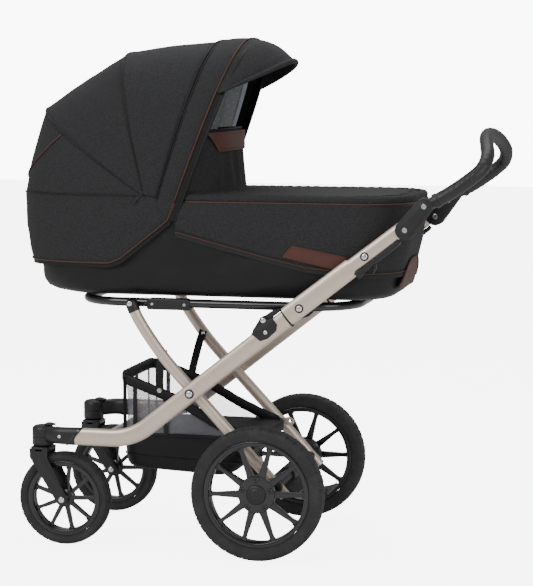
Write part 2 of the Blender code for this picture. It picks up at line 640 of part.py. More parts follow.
def hood_skirt(body, mats):
    """Band round the head end, its lower front corners cut on the slant."""
    front, corner, sheet = -0.205, 0.115, 0.0035
    rings = []
    outer_half, outer_head = HOOD_HALF - 0.001, COT_HEAD - 0.005
    for i in range(2):
        half, head = outer_half - i * sheet, outer_head + i * sheet
        plan = [(front, half), (front - 0.040, half), (front - 0.082, half)]
        plan += arc((head + corner, half - corner), corner, 90, 180, 6)
        plan += [(x, -y) for x, y in plan[::-1]]
        for low in ((True, False) if i == 0 else (False, True)):
            ring = []
            for x, y in plan:
                z = 0.646 + max(0.0, (x - (front - 0.082)) / 0.082) * 0.104 if low else 0.790
                ring.append((x, y, z))
            rings.append(ring)
    bm = bmesh.new()
    rows = [[bm.verts.new(p) for p in ring] for ring in rings]
    for n in range(4):
        one, two = rows[n], rows[(n + 1) % 4]
        for j in range(len(one) - 1):
            bm.faces.new((one[j], one[j + 1], two[j + 1], two[j]))
    for end in (0, -1):
        bm.faces.new([row[end] for row in rows])
    finish(bm, "hood_skirt", body, mats["fabric"])


def hood_arch(radius, half, corner=0.125, count=5, start=0.032):
    """(radius, y) points of one hoop, up one side, over the top and down the other."""
    points = [(start, -half), (radius * 0.4, -half)]
    points += [(radius - corner + corner * math.sin(t), -half + corner - corner * math.cos(t))
               for t in (math.pi / 2 * i / (count - 1) for i in range(count))]
    return points + [(r, -y) for r, y in points[::-1]]


def hood_panel(name, level, start, end, body, mats):
    """Rigid stand-in for one fabric panel, turned about the hood pivot between two hoops."""
    lift = level * HOOD_STEP
    inner = hood_arch(HOOD_RADIUS + lift, HOOD_HALF + lift)
    outer = hood_arch(HOOD_RADIUS + lift + HOOD_SHEET, HOOD_HALF + lift + HOOD_SHEET)
    steps = math.ceil((end - start) / HOOD_FACET)
    rings = []
    for i in range(steps + 1):
        angle = math.radians(start + (end - start) * i / steps)
        c, s = math.cos(angle), math.sin(angle)
        rings.append([(HOOD_PIVOT[0] + r * c, y, HOOD_PIVOT[1] + r * s) for r, y in outer + inner[::-1]])
    finish(loops_to_mesh(rings), name, body, mats["fabric"])


def visor(body, mats):
    """Sun visor ahead of the hood's rim."""
    steps, rings = 8, []
    rim_angle = math.radians(HOOD_ANGLES[0] - 0.15)
    arch = HOOD_RADIUS + 2 * HOOD_STEP
    for i in range(steps + 1):
        t = 2 * i / steps - 1
        y = 0.165 * t
        radius = arch - 0.045 * t * t * t * t
        back = Vector((HOOD_PIVOT[0] + radius * math.cos(rim_angle), y,
                       HOOD_PIVOT[1] + radius * math.sin(rim_angle)))
        tip = Vector((0.078 - 0.055 * t * t, y, 1.100 - 0.060 * t * t))
        middle = (back + tip) / 2 + Vector((0.010, 0, 0.014))
        under = Vector((-0.001, 0, -0.004))
        back.x += 0.0008
        rings.append([back, middle, tip, tip + under, middle + under, back + Vector((0.0014, 0, -0.004))])
    finish(loops_to_mesh(rings), "hood_visor", body, mats["fabric"])


def carrycot(body, mats):
    cot_tub(body, mats)
    mattress = (COT_HEAD + 0.055, COT_FOOT - 0.040, 0.155, 0.085)
    slab("cot_mattress", *mattress, 0.6010, 0.6400, body, mats["lining"])
    apron = (-0.100, COT_FOOT + 0.003, COT_HALF + 0.002, 0.070)
    slab("cot_apron", *apron, COT_TOP + GAP, 0.8050, body, mats["fabric"])
    wind_flap(body, mats)
    hood_skirt(body, mats)
    for side in (-1, 1):
        hub = disc(0.018, *spread(side, 0, COT_HALF + 0.0006, 0.2065))
        bm = turned(hub, (HOOD_PIVOT[0], 0, HOOD_PIVOT[1]), 16)
        finish(bm, f"hood_hub_{side_name(side)}", body, mats["plastic"])


# ---- assembly -----------------------------------------------------------------------------------------
def palette():
    return {
        "aluminium": material("champagne aluminium", (0.58, 0.51, 0.44), 0.35, 1.0),
        "plastic": material("black plastic", (0.030, 0.030, 0.032), 0.50),
        "gloss": material("gloss black plastic", (0.020, 0.020, 0.024), 0.25),
        "rubber": material("tyre foam", (0.045, 0.045, 0.047), 0.80),
        "steel": material("bright steel", (0.70, 0.68, 0.65), 0.25, 1.0),
        "fabric": material("charcoal fabric", (0.036, 0.036, 0.038), 0.90),
        "softshell": material("black softshell", (0.012, 0.012, 0.013), 0.60),
        "leather": material("black leather", (0.030, 0.029, 0.029), 0.55),
        "lining": material("grey lining", (0.30, 0.32, 0.33), 0.90),
    }


def build():
    for old in list(bpy.data.objects):
        bpy.data.objects.remove(old, do_unlink=True)
    mats = palette()
    chassis = empty("body_lower_frame", 0, 0, 0)
    lower_frame(chassis, mats)
    for side in (-1, 1):
        end, y = side_name(side), side * FRONT_TRACK
        swivel = empty(f"body_castor_{end}", STEM_X, y, HOUSING_BOTTOM, chassis)
        castor(side, swivel, mats)
        front_wheel(side, empty(f"body_front_wheel_{end}", FRONT_AXLE[0], y, FRONT_AXLE[1], swivel), mats)
        swivel_lock(side, empty(f"body_swivel_lock_{end}", STEM_X + 0.006, y, HOUSING_TOP, chassis), mats)
    legs = empty("body_rear_legs", PIVOT[0], 0, PIVOT[1], chassis)
    rear_legs(legs, mats)
    brake_pedal(empty("body_brake_pedal", CROSS_TUBE[0], 0, CROSS_TUBE[1], legs), mats)
    hinge = along(*HINGE_UV)
    upper = empty("body_upper_frame", hinge[0], 0, hinge[1], chassis)
    tilt, trigger = along(*TILT_UV), along(*TRIGGER_UV)
    push = empty("body_handle", tilt[0], 0, tilt[1], upper)
    handle(push, mats)
    for side in (-1, 1):
        end = side_name(side)
        spin = empty(f"body_rear_wheel_{end}", REAR_AXLE[0], side * REAR_TRACK, REAR_AXLE[1], legs)
        rear_wheel(side, spin, mats)
        upper_tube(side, upper, mats)
        fold_knuckle(side, upper, mats)
        hinge_pin(side, upper, mats)
        release_sleeve(side, upper, mats)
        pull = empty(f"body_fold_trigger_{end}", trigger[0], side * TUBE_Y, trigger[1], upper)
        fold_trigger(side, pull, mats)
        handle_housing(side, push, mats)
        tilt_button(side, empty(f"body_tilt_button_{end}", BUTTON[0], side * TUBE_Y, BUTTON[1], push), mats)
    ring = empty("body_carrier", LEG_TOP[0], 0, LEG_TOP[1], legs)
    carrier(ring, mats)
    cot = empty("body_carrycot", 0, 0, COT_TOP, ring)
    carrycot(cot, mats)
    rim_angle, front_angle, middle_angle, back_angle = HOOD_ANGLES
    parent = cot
    for level, (name, start, end) in enumerate((("rear", middle_angle, back_angle),
                                                ("middle", front_angle, middle_angle - 0.05),
                                                ("front", rim_angle, front_angle - 0.05))):
        parent = empty(f"body_hood_{name}", HOOD_PIVOT[0], 0, HOOD_PIVOT[1], parent)
        hood_panel(f"hood_panel_{name}", level, start, end, parent, mats)
    visor(parent, mats)


build()
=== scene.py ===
import math

import bmesh
import bpy
from mathutils import Matrix, Vector, noise


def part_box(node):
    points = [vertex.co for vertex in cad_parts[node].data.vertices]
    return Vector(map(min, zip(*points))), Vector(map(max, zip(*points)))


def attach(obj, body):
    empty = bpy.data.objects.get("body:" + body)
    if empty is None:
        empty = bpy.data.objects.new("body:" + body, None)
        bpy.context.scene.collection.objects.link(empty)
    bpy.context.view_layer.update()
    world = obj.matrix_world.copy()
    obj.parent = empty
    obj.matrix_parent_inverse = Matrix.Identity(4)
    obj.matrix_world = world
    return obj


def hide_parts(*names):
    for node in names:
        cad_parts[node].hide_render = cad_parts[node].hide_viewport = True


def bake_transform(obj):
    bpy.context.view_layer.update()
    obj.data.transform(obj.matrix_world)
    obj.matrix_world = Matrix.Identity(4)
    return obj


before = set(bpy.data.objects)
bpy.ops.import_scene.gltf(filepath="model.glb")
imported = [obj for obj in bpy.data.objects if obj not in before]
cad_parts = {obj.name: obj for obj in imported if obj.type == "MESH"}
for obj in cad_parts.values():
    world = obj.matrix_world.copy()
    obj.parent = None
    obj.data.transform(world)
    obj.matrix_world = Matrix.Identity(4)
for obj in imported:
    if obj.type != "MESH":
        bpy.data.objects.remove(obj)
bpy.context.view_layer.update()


# arithmetic on a Wire adds its Math nodes
class Wire:
    def __init__(self, nodes, socket):
        self.nodes, self.socket = nodes, socket

    def math(self, operation, other=None, flip=False):
        first, second = (other, self) if flip else (self, other)
        return self.nodes.add("ShaderNodeMath", {"operation": operation}, {0: first, 1: second})

    def __add__(self, other):
        return self.math("ADD", other)

    def __mul__(self, other):
        return self.math("MULTIPLY", other)

    def __sub__(self, other):
        return self.math("SUBTRACT", other)

    def __rsub__(self, other):
        return self.math("SUBTRACT", other, True)

    def __truediv__(self, other):
        return self.math("DIVIDE", other)

    def __rtruediv__(self, other):
        return self.math("DIVIDE", other, True)

    def __gt__(self, other):
        return self.math("GREATER_THAN", other)

    def __lt__(self, other):
        return self.math("LESS_THAN", other)

    __radd__ = __add__
    __rmul__ = __mul__

    def wave(self):
        return self.math("SINE")

    def size(self):
        return self.math("ABSOLUTE")


class Nodes:
    def __init__(self, tree):
        self.tree = tree

    def add(self, kind, settings=None, values=None, out=0):
        node = self.tree.nodes.new(kind)
        for key, value in (settings or {}).items():
            if key == "stops":
                self.fillRamp(node.color_ramp, value)
            else:
                setattr(node, key, value)
        for key, value in (values or {}).items():
            if isinstance(value, Wire):
                self.tree.links.new(value.socket, node.inputs[key])
            elif value is not None:
                node.inputs[key].default_value = value
        return Wire(self, node.outputs[out])

    def fillRamp(self, ramp, stops):
        while len(ramp.elements) > 1:
            ramp.elements.remove(ramp.elements[-1])
        for number, (place, value) in enumerate(stops):
            stop = ramp.elements.new(place) if number else ramp.elements[0]
            stop.position, stop.color = place, (value, value, value, 1)

    def noise(self, place, scale, detail=2.0, rough=0.5, stretch=None):
        if stretch:
            place = self.add("ShaderNodeMapping", values={"Vector": place, "Scale": stretch})
        return self.add("ShaderNodeTexNoise", values={"Vector": place, "Scale": scale, "Detail": detail,
                                                      "Roughness": rough})

    def cells(self, place, scale, feature="F1"):
        return self.add("ShaderNodeTexVoronoi", {"feature": feature}, {"Vector": place, "Scale": scale})

    def ramp(self, factor, *stops):
        return self.add("ShaderNodeValToRGB", {"stops": stops}, {"Fac": factor})

    def tint(self, factor, first, second):
        first, second = [value if isinstance(value, Wire) else (*value, 1) for value in (first, second)]
        return self.add("ShaderNodeMix", {"data_type": "RGBA"}, {0: factor, 6: first, 7: second}, out=2)

    def axes(self, place):
        return [self.add("ShaderNodeSeparateXYZ", values={"Vector": place}, out=axis) for axis in "XYZ"]


def finishOf(name, paint):
    material = bpy.data.materials.new(name)
    material.use_nodes = True
    nodes = Nodes(material.node_tree)
    shader = material.node_tree.nodes["Principled BSDF"]
    place = nodes.add("ShaderNodeTexCoord", out="Object")
    for key, value in paint(nodes, place).items():
        if key == "Bump":
            height, strength, distance = value
            value = nodes.add("ShaderNodeBump", values={"Height": height, "Strength": strength,
                                                        "Distance": distance})
            key = "Normal"
        if isinstance(value, Wire):
            material.node_tree.links.new(value.socket, shader.inputs[key])
        else:
            shader.inputs[key].default_value = value
    return material


# each finish takes the node helper and the object's own coordinates
def champagnePaint(nodes, place):      # satin anodised tube, faintly drawn along its length
    cloud, streak = nodes.noise(place, 9, 3), nodes.noise(place, 420, 2, stretch=(0.12, 1, 0.12))
    scuff = nodes.ramp(nodes.noise(place, 60, 6, 0.7), (0.60, 0), (0.72, 1))
    colour = nodes.tint(cloud, (0.60, 0.505, 0.415), (0.69, 0.59, 0.49))
    return {"Base Color": nodes.tint(scuff * 0.18, colour, (0.46, 0.39, 0.33)), "Metallic": 0.55,
            "Roughness": streak * 0.10 + cloud * 0.08 + 0.28, "Bump": (streak, 0.05, 0.0002)}


def mouldedPaint(nodes, place):        # fine spark-eroded grain
    grain, cloud = nodes.noise(place, 1500, 2), nodes.noise(place, 35, 3)
    rub = nodes.ramp(nodes.noise(place, 90, 5, 0.7), (0.58, 0), (0.74, 1))
    return {"Base Color": nodes.tint(rub * 0.5, (0.0075, 0.0075, 0.0085), (0.022, 0.022, 0.024)),
            "Roughness": grain * 0.12 + cloud * 0.12 + 0.34, "Bump": (grain, 0.25, 0.0003)}


def glossPaint(nodes, place):          # polished moulding with handling haze
    haze, fine = nodes.noise(place, 40, 4), nodes.noise(place, 900, 2)
    return {"Base Color": nodes.tint(haze, (0.0045, 0.0045, 0.0055), (0.011, 0.011, 0.013)),
            "Roughness": haze * 0.20 + 0.12, "Coat Weight": 0.25, "Bump": (fine, 0.05, 0.0002)}


def tyrePaint(nodes, place):           # foam skin, a little dusty
    grain, dust = nodes.noise(place, 900, 4, 0.7), nodes.noise(place, 28, 5, 0.65)
    return {"Base Color": nodes.tint(nodes.ramp(dust, (0.42, 0), (0.72, 1)) * 0.8, (0.014, 0.014, 0.015),
                                     (0.032, 0.031, 0.030)),
            "Roughness": grain * 0.15 + 0.68, "Bump": (grain, 0.35, 0.0005)}


def steelPaint(nodes, place):          # bright rivets and pins
    haze, scratch = nodes.noise(place, 120, 3), nodes.noise(place, 500, 3, stretch=(1, 1, 0.1))
    return {"Base Color": nodes.tint(haze, (0.72, 0.70, 0.67), (0.84, 0.82, 0.79)), "Metallic": 1.0,
            "Roughness": haze * 0.10 + 0.14, "Bump": (scratch, 0.04, 0.0001)}


def weave(nodes, place, scale):        # two crossed sets of threads that hold on any facing
    x, y, z = nodes.axes(place)
    warp = ((x + z * 0.35) * scale).wave() * ((y + z) * scale).wave()
    return warp * 0.5 + 0.5


def melangePaint(nodes, place):        # charcoal yarn flecked with lighter fibres
    fleck = nodes.noise(place, 980, 3, 0.7, stretch=(1, 1, 0.35))
    cross = nodes.noise(place, 1100, 2, 0.6, stretch=(0.3, 0.3, 1))
    cloud = nodes.noise(place, 14, 3)
    thread = weave(nodes, place, 3300)
    light = nodes.ramp(fleck * 0.6 + cross * 0.4, (0.44, 0), (0.62, 1))
    colour = nodes.tint(light, (0.0060, 0.0060, 0.0068), (0.034, 0.034, 0.037))
    return {"Base Color": nodes.tint(cloud * 0.35, colour, (0.012, 0.012, 0.0135)),
            "Roughness": fleck * 0.1 + 0.80, "Specular IOR Level": 0.40,
            "Bump": (thread * 0.6 + fleck * 0.6, 0.35, 0.0004)}


def softshellPaint(nodes, place):      # close knit with a satin face
    knit, cloud = weave(nodes, place, 4200), nodes.noise(place, 18, 4)
    pill = nodes.noise(place, 420, 3)
    return {"Base Color": nodes.tint(cloud, (0.0028, 0.0028, 0.0034), (0.0065, 0.0065, 0.0076)),
            "Roughness": pill * 0.12 + cloud * 0.12 + 0.40, "Specular IOR Level": 0.30,
            "Bump": (knit * 0.5 + pill * 0.5, 0.25, 0.0003)}


def leatherPaint(dark, light, rough):
    def paint(nodes, place):
        grain = nodes.cells(place, 520)
        crease, cloud = nodes.noise(place, 160, 5, 0.65), nodes.noise(place, 30, 3)
        return {"Base Color": nodes.tint(cloud * 0.6 + grain * 0.4, dark, light),
                "Roughness": crease * 0.2 + rough, "Bump": (grain * 0.6 + crease * 0.5, 0.5, 0.0006)}
    return paint


def liningPaint(nodes, place):         # soft grey cotton printed with rows of small dots
    x, y, z = nodes.axes(place)
    dots = (((x + z) * 290).wave() * ((y - z * 0.5 + x * 0.5) * 290).wave()) > 0.80
    nap = nodes.noise(place, 700, 3)
    colour = nodes.tint(nap, (0.30, 0.32, 0.335), (0.42, 0.445, 0.46))
    return {"Base Color": nodes.tint(dots * 0.5, colour, (0.62, 0.65, 0.69)),
            "Roughness": nap * 0.1 + 0.80, "Sheen Weight": 0.2, "Bump": (nap, 0.4, 0.0005)}


def stripPaint(nodes, place):          # pale binding tape
    rib, cloud = nodes.noise(place, 900, 2, stretch=(1, 0.2, 1)), nodes.noise(place, 40, 3)
    return {"Base Color": nodes.tint(cloud, (0.50, 0.52, 0.60), (0.62, 0.64, 0.72)),
            "Roughness": rib * 0.1 + 0.72, "Bump": (rib, 0.3, 0.0003)}


def webbingPaint(nodes, place):        # ribbed tape
    x, _, z = nodes.axes(place)
    rib = ((x + z) * 2600).wave() * 0.5 + 0.5
    fuzz = nodes.noise(place, 600, 3)
    return {"Base Color": nodes.tint(fuzz * rib, (0.0045, 0.0045, 0.005), (0.018, 0.018, 0.020)),
            "Roughness": fuzz * 0.1 + 0.76, "Bump": (rib, 0.45, 0.0004)}


def netPaint(nodes, place):            # open knitted net, read from the sheet's own map
    where = nodes.add("ShaderNodeTexCoord", out="UV")
    u, v, _ = nodes.axes(where)
    holes = ((u * 1000).wave() * (v * 1000).wave()).size() > 0.10
    fuzz = nodes.noise(place, 500, 3)
    return {"Base Color": nodes.tint(fuzz, (0.17, 0.17, 0.20), (0.30, 0.30, 0.34)),
            "Roughness": fuzz * 0.1 + 0.72, "Alpha": 1 - holes * 0.74, "Bump": (fuzz, 0.3, 0.0003)}


finish = {
    "champagne": finishOf("champagneTube", champagnePaint),
    "moulded": finishOf("mouldedPlastic", mouldedPaint),
    "gloss": finishOf("glossPlastic", glossPaint),
    "tyre": finishOf("tyreFoam", tyrePaint),
    "steel": finishOf("brightSteel", steelPaint),
    "melange": finishOf("melangeCloth", melangePaint),
    "softshell": finishOf("softshellCloth", softshellPaint),
    "tan": finishOf("brownLeather", leatherPaint((0.034, 0.0070, 0.0030), (0.092, 0.022, 0.010), 0.50)),
    "piping": finishOf("brownPiping", leatherPaint((0.034, 0.010, 0.005), (0.070, 0.022, 0.011), 0.50)),
    "grip": finishOf("gripLeather", leatherPaint((0.0055, 0.0055, 0.0055), (0.0145, 0.014, 0.014), 0.36)),
    "lining": finishOf("greyLining", liningPaint),
    "strip": finishOf("paleTape", stripPaint),
    "webbing": finishOf("blackWebbing", webbingPaint),
    "net": finishOf("basketNet", netPaint),
}
print("finishes ready")


# shapes are lists of points until skin, turned or plate makes a mesh of them
def lerp(a, b, t):
    return a + (b - a) * t


def smoothStep(t):
    t = max(0.0, min(1.0, t))
    return t * t * (3 - 2 * t)


def bump(t, centre, width):            # soft hill, 1 at its centre
    return math.exp(-((t - centre) / width) ** 2)


def arc(centre, radius, start, end, count):
    angles = (math.radians(lerp(start, end, i / (count - 1))) for i in range(count))
    return [(centre[0] + radius * math.cos(a), centre[1] + radius * math.sin(a)) for a in angles]


def ring(radius, count):
    return [(radius * math.cos(2 * math.pi * i / count), radius * math.sin(2 * math.pi * i / count))
            for i in range(count)]


def oval(wide, tall, power=2.6, count=32):
    def swell(value, size):
        return math.copysign(abs(value) ** (2 / power), value) * size / 2
    return [(swell(a, wide), swell(b, tall)) for a, b in ring(1.0, count)]


def roundedPlan(x0, x1, half, corner, count=10):
    points = []
    for x, y, start in ((x1 - corner, half - corner, 0), (x0 + corner, half - corner, 90),
                        (x0 + corner, corner - half, 180), (x1 - corner, corner - half, 270)):
        points += arc((x, y), corner, start, start + 90, count)
    return points


def smoothPath(points, steps=8):       # a curve through given points
    points = [Vector(p) for p in points]
    ends = [points[0] * 2 - points[1], *points, points[-1] * 2 - points[-2]]
    found = []
    for a, b, c, d in zip(ends, ends[1:], ends[2:], ends[3:]):
        for n in range(steps):
            t = n / steps
            found.append(0.5 * (2 * b + (c - a) * t + (2 * a - 5 * b + 4 * c - d) * t * t
                                + (3 * b - a - 3 * c + d) * t ** 3))
    return found + [points[-1]]


def evenPath(points, count):           # the same path with evenly spaced points
    points = [Vector(p) for p in points]
    reach = [0.0]
    for a, b in zip(points, points[1:]):
        reach.append(reach[-1] + (b - a).length)
    found, k = [], 0
    for i in range(count):
        want = reach[-1] * i / (count - 1)
        while k < len(points) - 2 and reach[k + 1] < want:
            k += 1
        span = max(reach[k + 1] - reach[k], 1e-9)
        found.append(points[k].lerp(points[k + 1], (want - reach[k]) / span))
    return found


def pathLength(points):
    return sum((Vector(b) - Vector(a)).length for a, b in zip(points, points[1:]))


def sweep(path, section, side=(0, 1, 0), closed=False):
    # rings of points; section is one outline of (side, up) points or a function of the place 0..1
    path, side, rings = [Vector(p) for p in path], Vector(side), []
    count = len(path)
    for i, point in enumerate(path):
        before = path[i - 1] if closed or i else point
        after = path[(i + 1) % count] if closed or i < count - 1 else point
        tangent = (after - before).normalized()
        side = (side - tangent * side.dot(tangent)).normalized()
        up = tangent.cross(side)
        outline = section(i / (count - 1)) if callable(section) else section
        rings.append([point + side * a + up * b for a, b in outline])
    return rings


def skin(rings, wrap=True, closed=False, caps=True):
    bm = bmesh.new()
    rows = [[bm.verts.new(p) for p in row] for row in rings]
    pairs = list(zip(rows, rows[1:])) + ([(rows[-1], rows[0])] if closed else [])
    reach = len(rows[0]) if wrap else len(rows[0]) - 1
    for one, two in pairs:
        for j in range(reach):
            k = (j + 1) % len(one)
            bm.faces.new((one[j], one[k], two[k], two[j]))
    if caps and wrap and not closed:
        bm.faces.new(rows[0])
        bm.faces.new(rows[-1][::-1])
    return bm


def turned(profile, centre, count=64, axis="Y"):
    # profile holds (radius, offset along the axis); radius 0 closes a pole
    bm, rows = bmesh.new(), []
    def put(a, b, along):
        spot = (a, along, b) if axis == "Y" else (a, b, along)
        return bm.verts.new(Vector(centre) + Vector(spot))
    for radius, offset in profile:
        rows.append([put(0, 0, offset)] if radius == 0 else [put(a, b, offset) for a, b in ring(radius, count)])
    pairs = list(zip(rows, rows[1:])) + ([(rows[-1], rows[0])] if profile[0][0] > 0 else [])
    for one, two in pairs:
        for j in range(count):
            k = (j + 1) % count
            if len(one) == 1 and len(two) == 1:
                continue
            if len(one) == 1:
                bm.faces.new((one[0], two[k], two[j]))
            elif len(two) == 1:
                bm.faces.new((one[j], one[k], two[0]))
            else:
                bm.faces.new((one[j], one[k], two[k], two[j]))
    return bm


def plate(outline, low, high, edge=0.001, holes=(), segments=3, axis="Y"):
    # a moulded plate: x, z outline along Y (or x, y along Z) with rounded edges
    bm, edges = bmesh.new(), []
    for loop in (outline, *holes):
        verts = [bm.verts.new((a, low, b) if axis == "Y" else (a, b, low)) for a, b in loop]
        edges += [bm.edges.new((verts[i - 1], verts[i])) for i in range(len(verts))]
    if holes:
        bmesh.ops.triangle_fill(bm, edges=edges, use_beauty=True)
    else:
        bm.faces.new(bm.verts[:])
    made = bmesh.ops.extrude_face_region(bm, geom=list(bm.faces))
    step = (0, high - low, 0) if axis == "Y" else (0, 0, high - low)
    bmesh.ops.translate(bm, vec=step, verts=[v for v in made["geom"] if isinstance(v, bmesh.types.BMVert)])
    bmesh.ops.recalc_face_normals(bm, faces=bm.faces)
    if edge:
        rims = [e for e in bm.edges if len(e.link_faces) == 2 and
                e.calc_face_angle(0) > math.radians(80) and
                abs(e.verts[0].co[1 if axis == "Y" else 2] - e.verts[1].co[1 if axis == "Y" else 2]) < 1e-7]
        bmesh.ops.bevel(bm, geom=rims, offset=edge, segments=segments, profile=0.5, affect="EDGES",
                        clamp_overlap=True)
    return bm


def joined(*parts):
    whole = bmesh.new()
    for part in parts:
        mesh = bpy.data.meshes.new("part")
        bmesh.ops.recalc_face_normals(part, faces=part.faces)
        part.to_mesh(mesh)
        part.free()
        whole.from_mesh(mesh)
        bpy.data.meshes.remove(mesh)
    return whole


def settle(name, mesh, body, replaces, smooth):
    mesh.name = name
    mesh.shade_smooth()
    mesh.set_sharp_from_angle(angle=math.radians(smooth))
    piece = bpy.data.objects.new(name, mesh)
    bpy.context.collection.objects.link(piece)
    if body:
        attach(piece, body)
    if replaces:
        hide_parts(*replaces)
    return piece


def place(name, bm, look, body, replaces=(), smooth=38, fixNormals=True):
    bmesh.ops.remove_doubles(bm, verts=bm.verts, dist=2e-6)
    if fixNormals:
        bmesh.ops.recalc_face_normals(bm, faces=bm.faces)
    mesh = bpy.data.meshes.new(name)
    bm.to_mesh(mesh)
    bm.free()
    mesh.materials.append(finish[look])
    return settle(name, mesh, body, replaces, smooth)


# geometry node trees for what repeats, with their sizes as named inputs
def newTree(name, **inputs):
    tree = bpy.data.node_groups.new(name, "GeometryNodeTree")
    tree.interface.new_socket("Geometry", in_out="INPUT", socket_type="NodeSocketGeometry")
    for label, value in inputs.items():
        kind = {int: "NodeSocketInt", float: "NodeSocketFloat", tuple: "NodeSocketVector"}[type(value)]
        tree.interface.new_socket(label, in_out="INPUT", socket_type=kind).default_value = value
    tree.interface.new_socket("Finish", in_out="INPUT", socket_type="NodeSocketMaterial")
    tree.interface.new_socket("Geometry", in_out="OUTPUT", socket_type="NodeSocketGeometry")
    nodes = Nodes(tree)
    source = tree.nodes.new("NodeGroupInput")
    return nodes, {key: Wire(nodes, source.outputs[key]) for key in ("Geometry", *inputs, "Finish")}


def endTree(nodes, geometry, given):
    geometry = nodes.add("GeometryNodeRealizeInstances", values={"Geometry": geometry})
    geometry = nodes.add("GeometryNodeSetMaterial", values={"Geometry": geometry, "Material": given["Finish"]})
    nodes.tree.links.new(geometry.socket, nodes.tree.nodes.new("NodeGroupOutput").inputs[0])
    return nodes.tree


def aroundTree():                      # copies a segment in a full circle about the wheel's axis
    nodes, given = newTree("aroundAxle", Count=10, Turn=0.0, Centre=(0.0, 0.0, 0.0))
    points = nodes.add("GeometryNodeMeshLine", values={"Count": given["Count"], "Offset": (0, 0, 0)})
    index = nodes.add("GeometryNodeInputIndex")
    angle = index * (2 * math.pi) / given["Count"] + given["Turn"]
    spin = nodes.add("ShaderNodeCombineXYZ", values={"Y": angle})
    copies = nodes.add("GeometryNodeInstanceOnPoints", values={"Points": points, "Instance": given["Geometry"],
                                                               "Rotation": spin})
    moved = nodes.add("GeometryNodeTransform", values={"Geometry": copies, "Translation": given["Centre"]})
    return endTree(nodes, moved, given)


def headTree(name, steps, sides=24):   # rivet, screw or stud heads on points that carry a facing
    nodes, given = newTree(name, Radius=0.005)
    base = nodes.add("GeometryNodeMeshCircle", {"fill_type": "NGON"}, {"Vertices": sides,
                                                                     "Radius": given["Radius"]})
    shape, top = base, None
    for rise, scale in steps:
        values = {"Mesh": shape, "Offset Scale": given["Radius"] * rise, "Individual": False, "Selection": top}
        lifted = nodes.add("GeometryNodeExtrudeMesh", {"mode": "FACES"}, values)
        top = Wire(nodes, lifted.socket.node.outputs["Top"])
        shape = nodes.add("GeometryNodeScaleElements", values={"Geometry": lifted, "Selection": top,
                                                               "Scale": scale})
    under = nodes.add("GeometryNodeFlipFaces", values={"Mesh": base})
    both = nodes.tree.nodes.new("GeometryNodeJoinGeometry")
    for part in (under, shape):
        nodes.tree.links.new(part.socket, both.inputs[0])
    facing = nodes.add("GeometryNodeInputNamedAttribute", {"data_type": "FLOAT_VECTOR"}, {"Name": "facing"})
    turn = nodes.add("FunctionNodeAlignRotationToVector", {"axis": "Z"}, {"Vector": facing})
    heads = nodes.add("GeometryNodeInstanceOnPoints", values={
        "Points": given["Geometry"], "Instance": Wire(nodes, both.outputs[0]), "Rotation": turn})
    return endTree(nodes, heads, given)


def stitchTree():                      # one small stitch every spacing along a path of edges
    nodes, given = newTree("stitchLine", Spacing=0.004, Length=0.0028, Thread=0.0008)
    curve = nodes.add("GeometryNodeMeshToCurve", values={"Mesh": given["Geometry"]})
    points = nodes.add("GeometryNodeResampleCurve", {"mode": "LENGTH"}, {"Curve": curve,
                                                                      "Length": given["Spacing"]})
    thread = nodes.add("GeometryNodeMeshUVSphere", values={"Segments": 6, "Rings": 4, "Radius": 0.5})
    size = nodes.add("ShaderNodeCombineXYZ", values={"X": given["Length"], "Y": given["Thread"],
                                                     "Z": given["Thread"]})
    thread = nodes.add("GeometryNodeTransform", values={"Geometry": thread, "Scale": size})
    turn = nodes.add("FunctionNodeAlignRotationToVector", {"axis": "X"},
                     {"Vector": nodes.add("GeometryNodeInputTangent")})
    copies = nodes.add("GeometryNodeInstanceOnPoints", values={"Points": points, "Instance": thread,
                                                               "Rotation": turn})
    return endTree(nodes, copies, given)


def ribTree():                         # evenly stepped copies of a segment, for lever and pedal ribs
    nodes, given = newTree("steppedRibs", Count=4, Step=(0.0, 0.0, 0.0))
    points = nodes.add("GeometryNodeMeshLine", values={"Count": given["Count"], "Offset": given["Step"]})
    copies = nodes.add("GeometryNodeInstanceOnPoints", values={"Points": points,
                                                               "Instance": given["Geometry"]})
    return endTree(nodes, copies, given)


trees = {
    "around": aroundTree(),
    "rivet": headTree("rivetHead", [(0.16, 1.0), (0.14, 0.94), (0.12, 0.86), (0.09, 0.72), (0.04, 0.5)]),
    "washer": headTree("washerRing", [(0.10, 1.0), (0.05, 0.93), (0.0, 0.80), (-0.04, 0.98)]),
    "screw": headTree("socketScrew", [(0.30, 1.0), (0.10, 0.90), (0.0, 0.55), (-0.28, 0.94)]),
    "snap": headTree("snapStud", [(0.15, 1.0), (0.10, 0.86), (0.0, 0.66), (-0.06, 0.95), (0.0, 0.5),
                                  (0.12, 0.85)]),
    "stitch": stitchTree(),
    "rib": ribTree(),
}


def grow(name, tree, bm, look, body, replaces=(), smooth=38, **sizes):
    mesh = bpy.data.meshes.new(name + "Seed")
    bm.to_mesh(mesh)
    bm.free()
    return growMesh(name, tree, mesh, look, body, replaces, smooth, sizes)


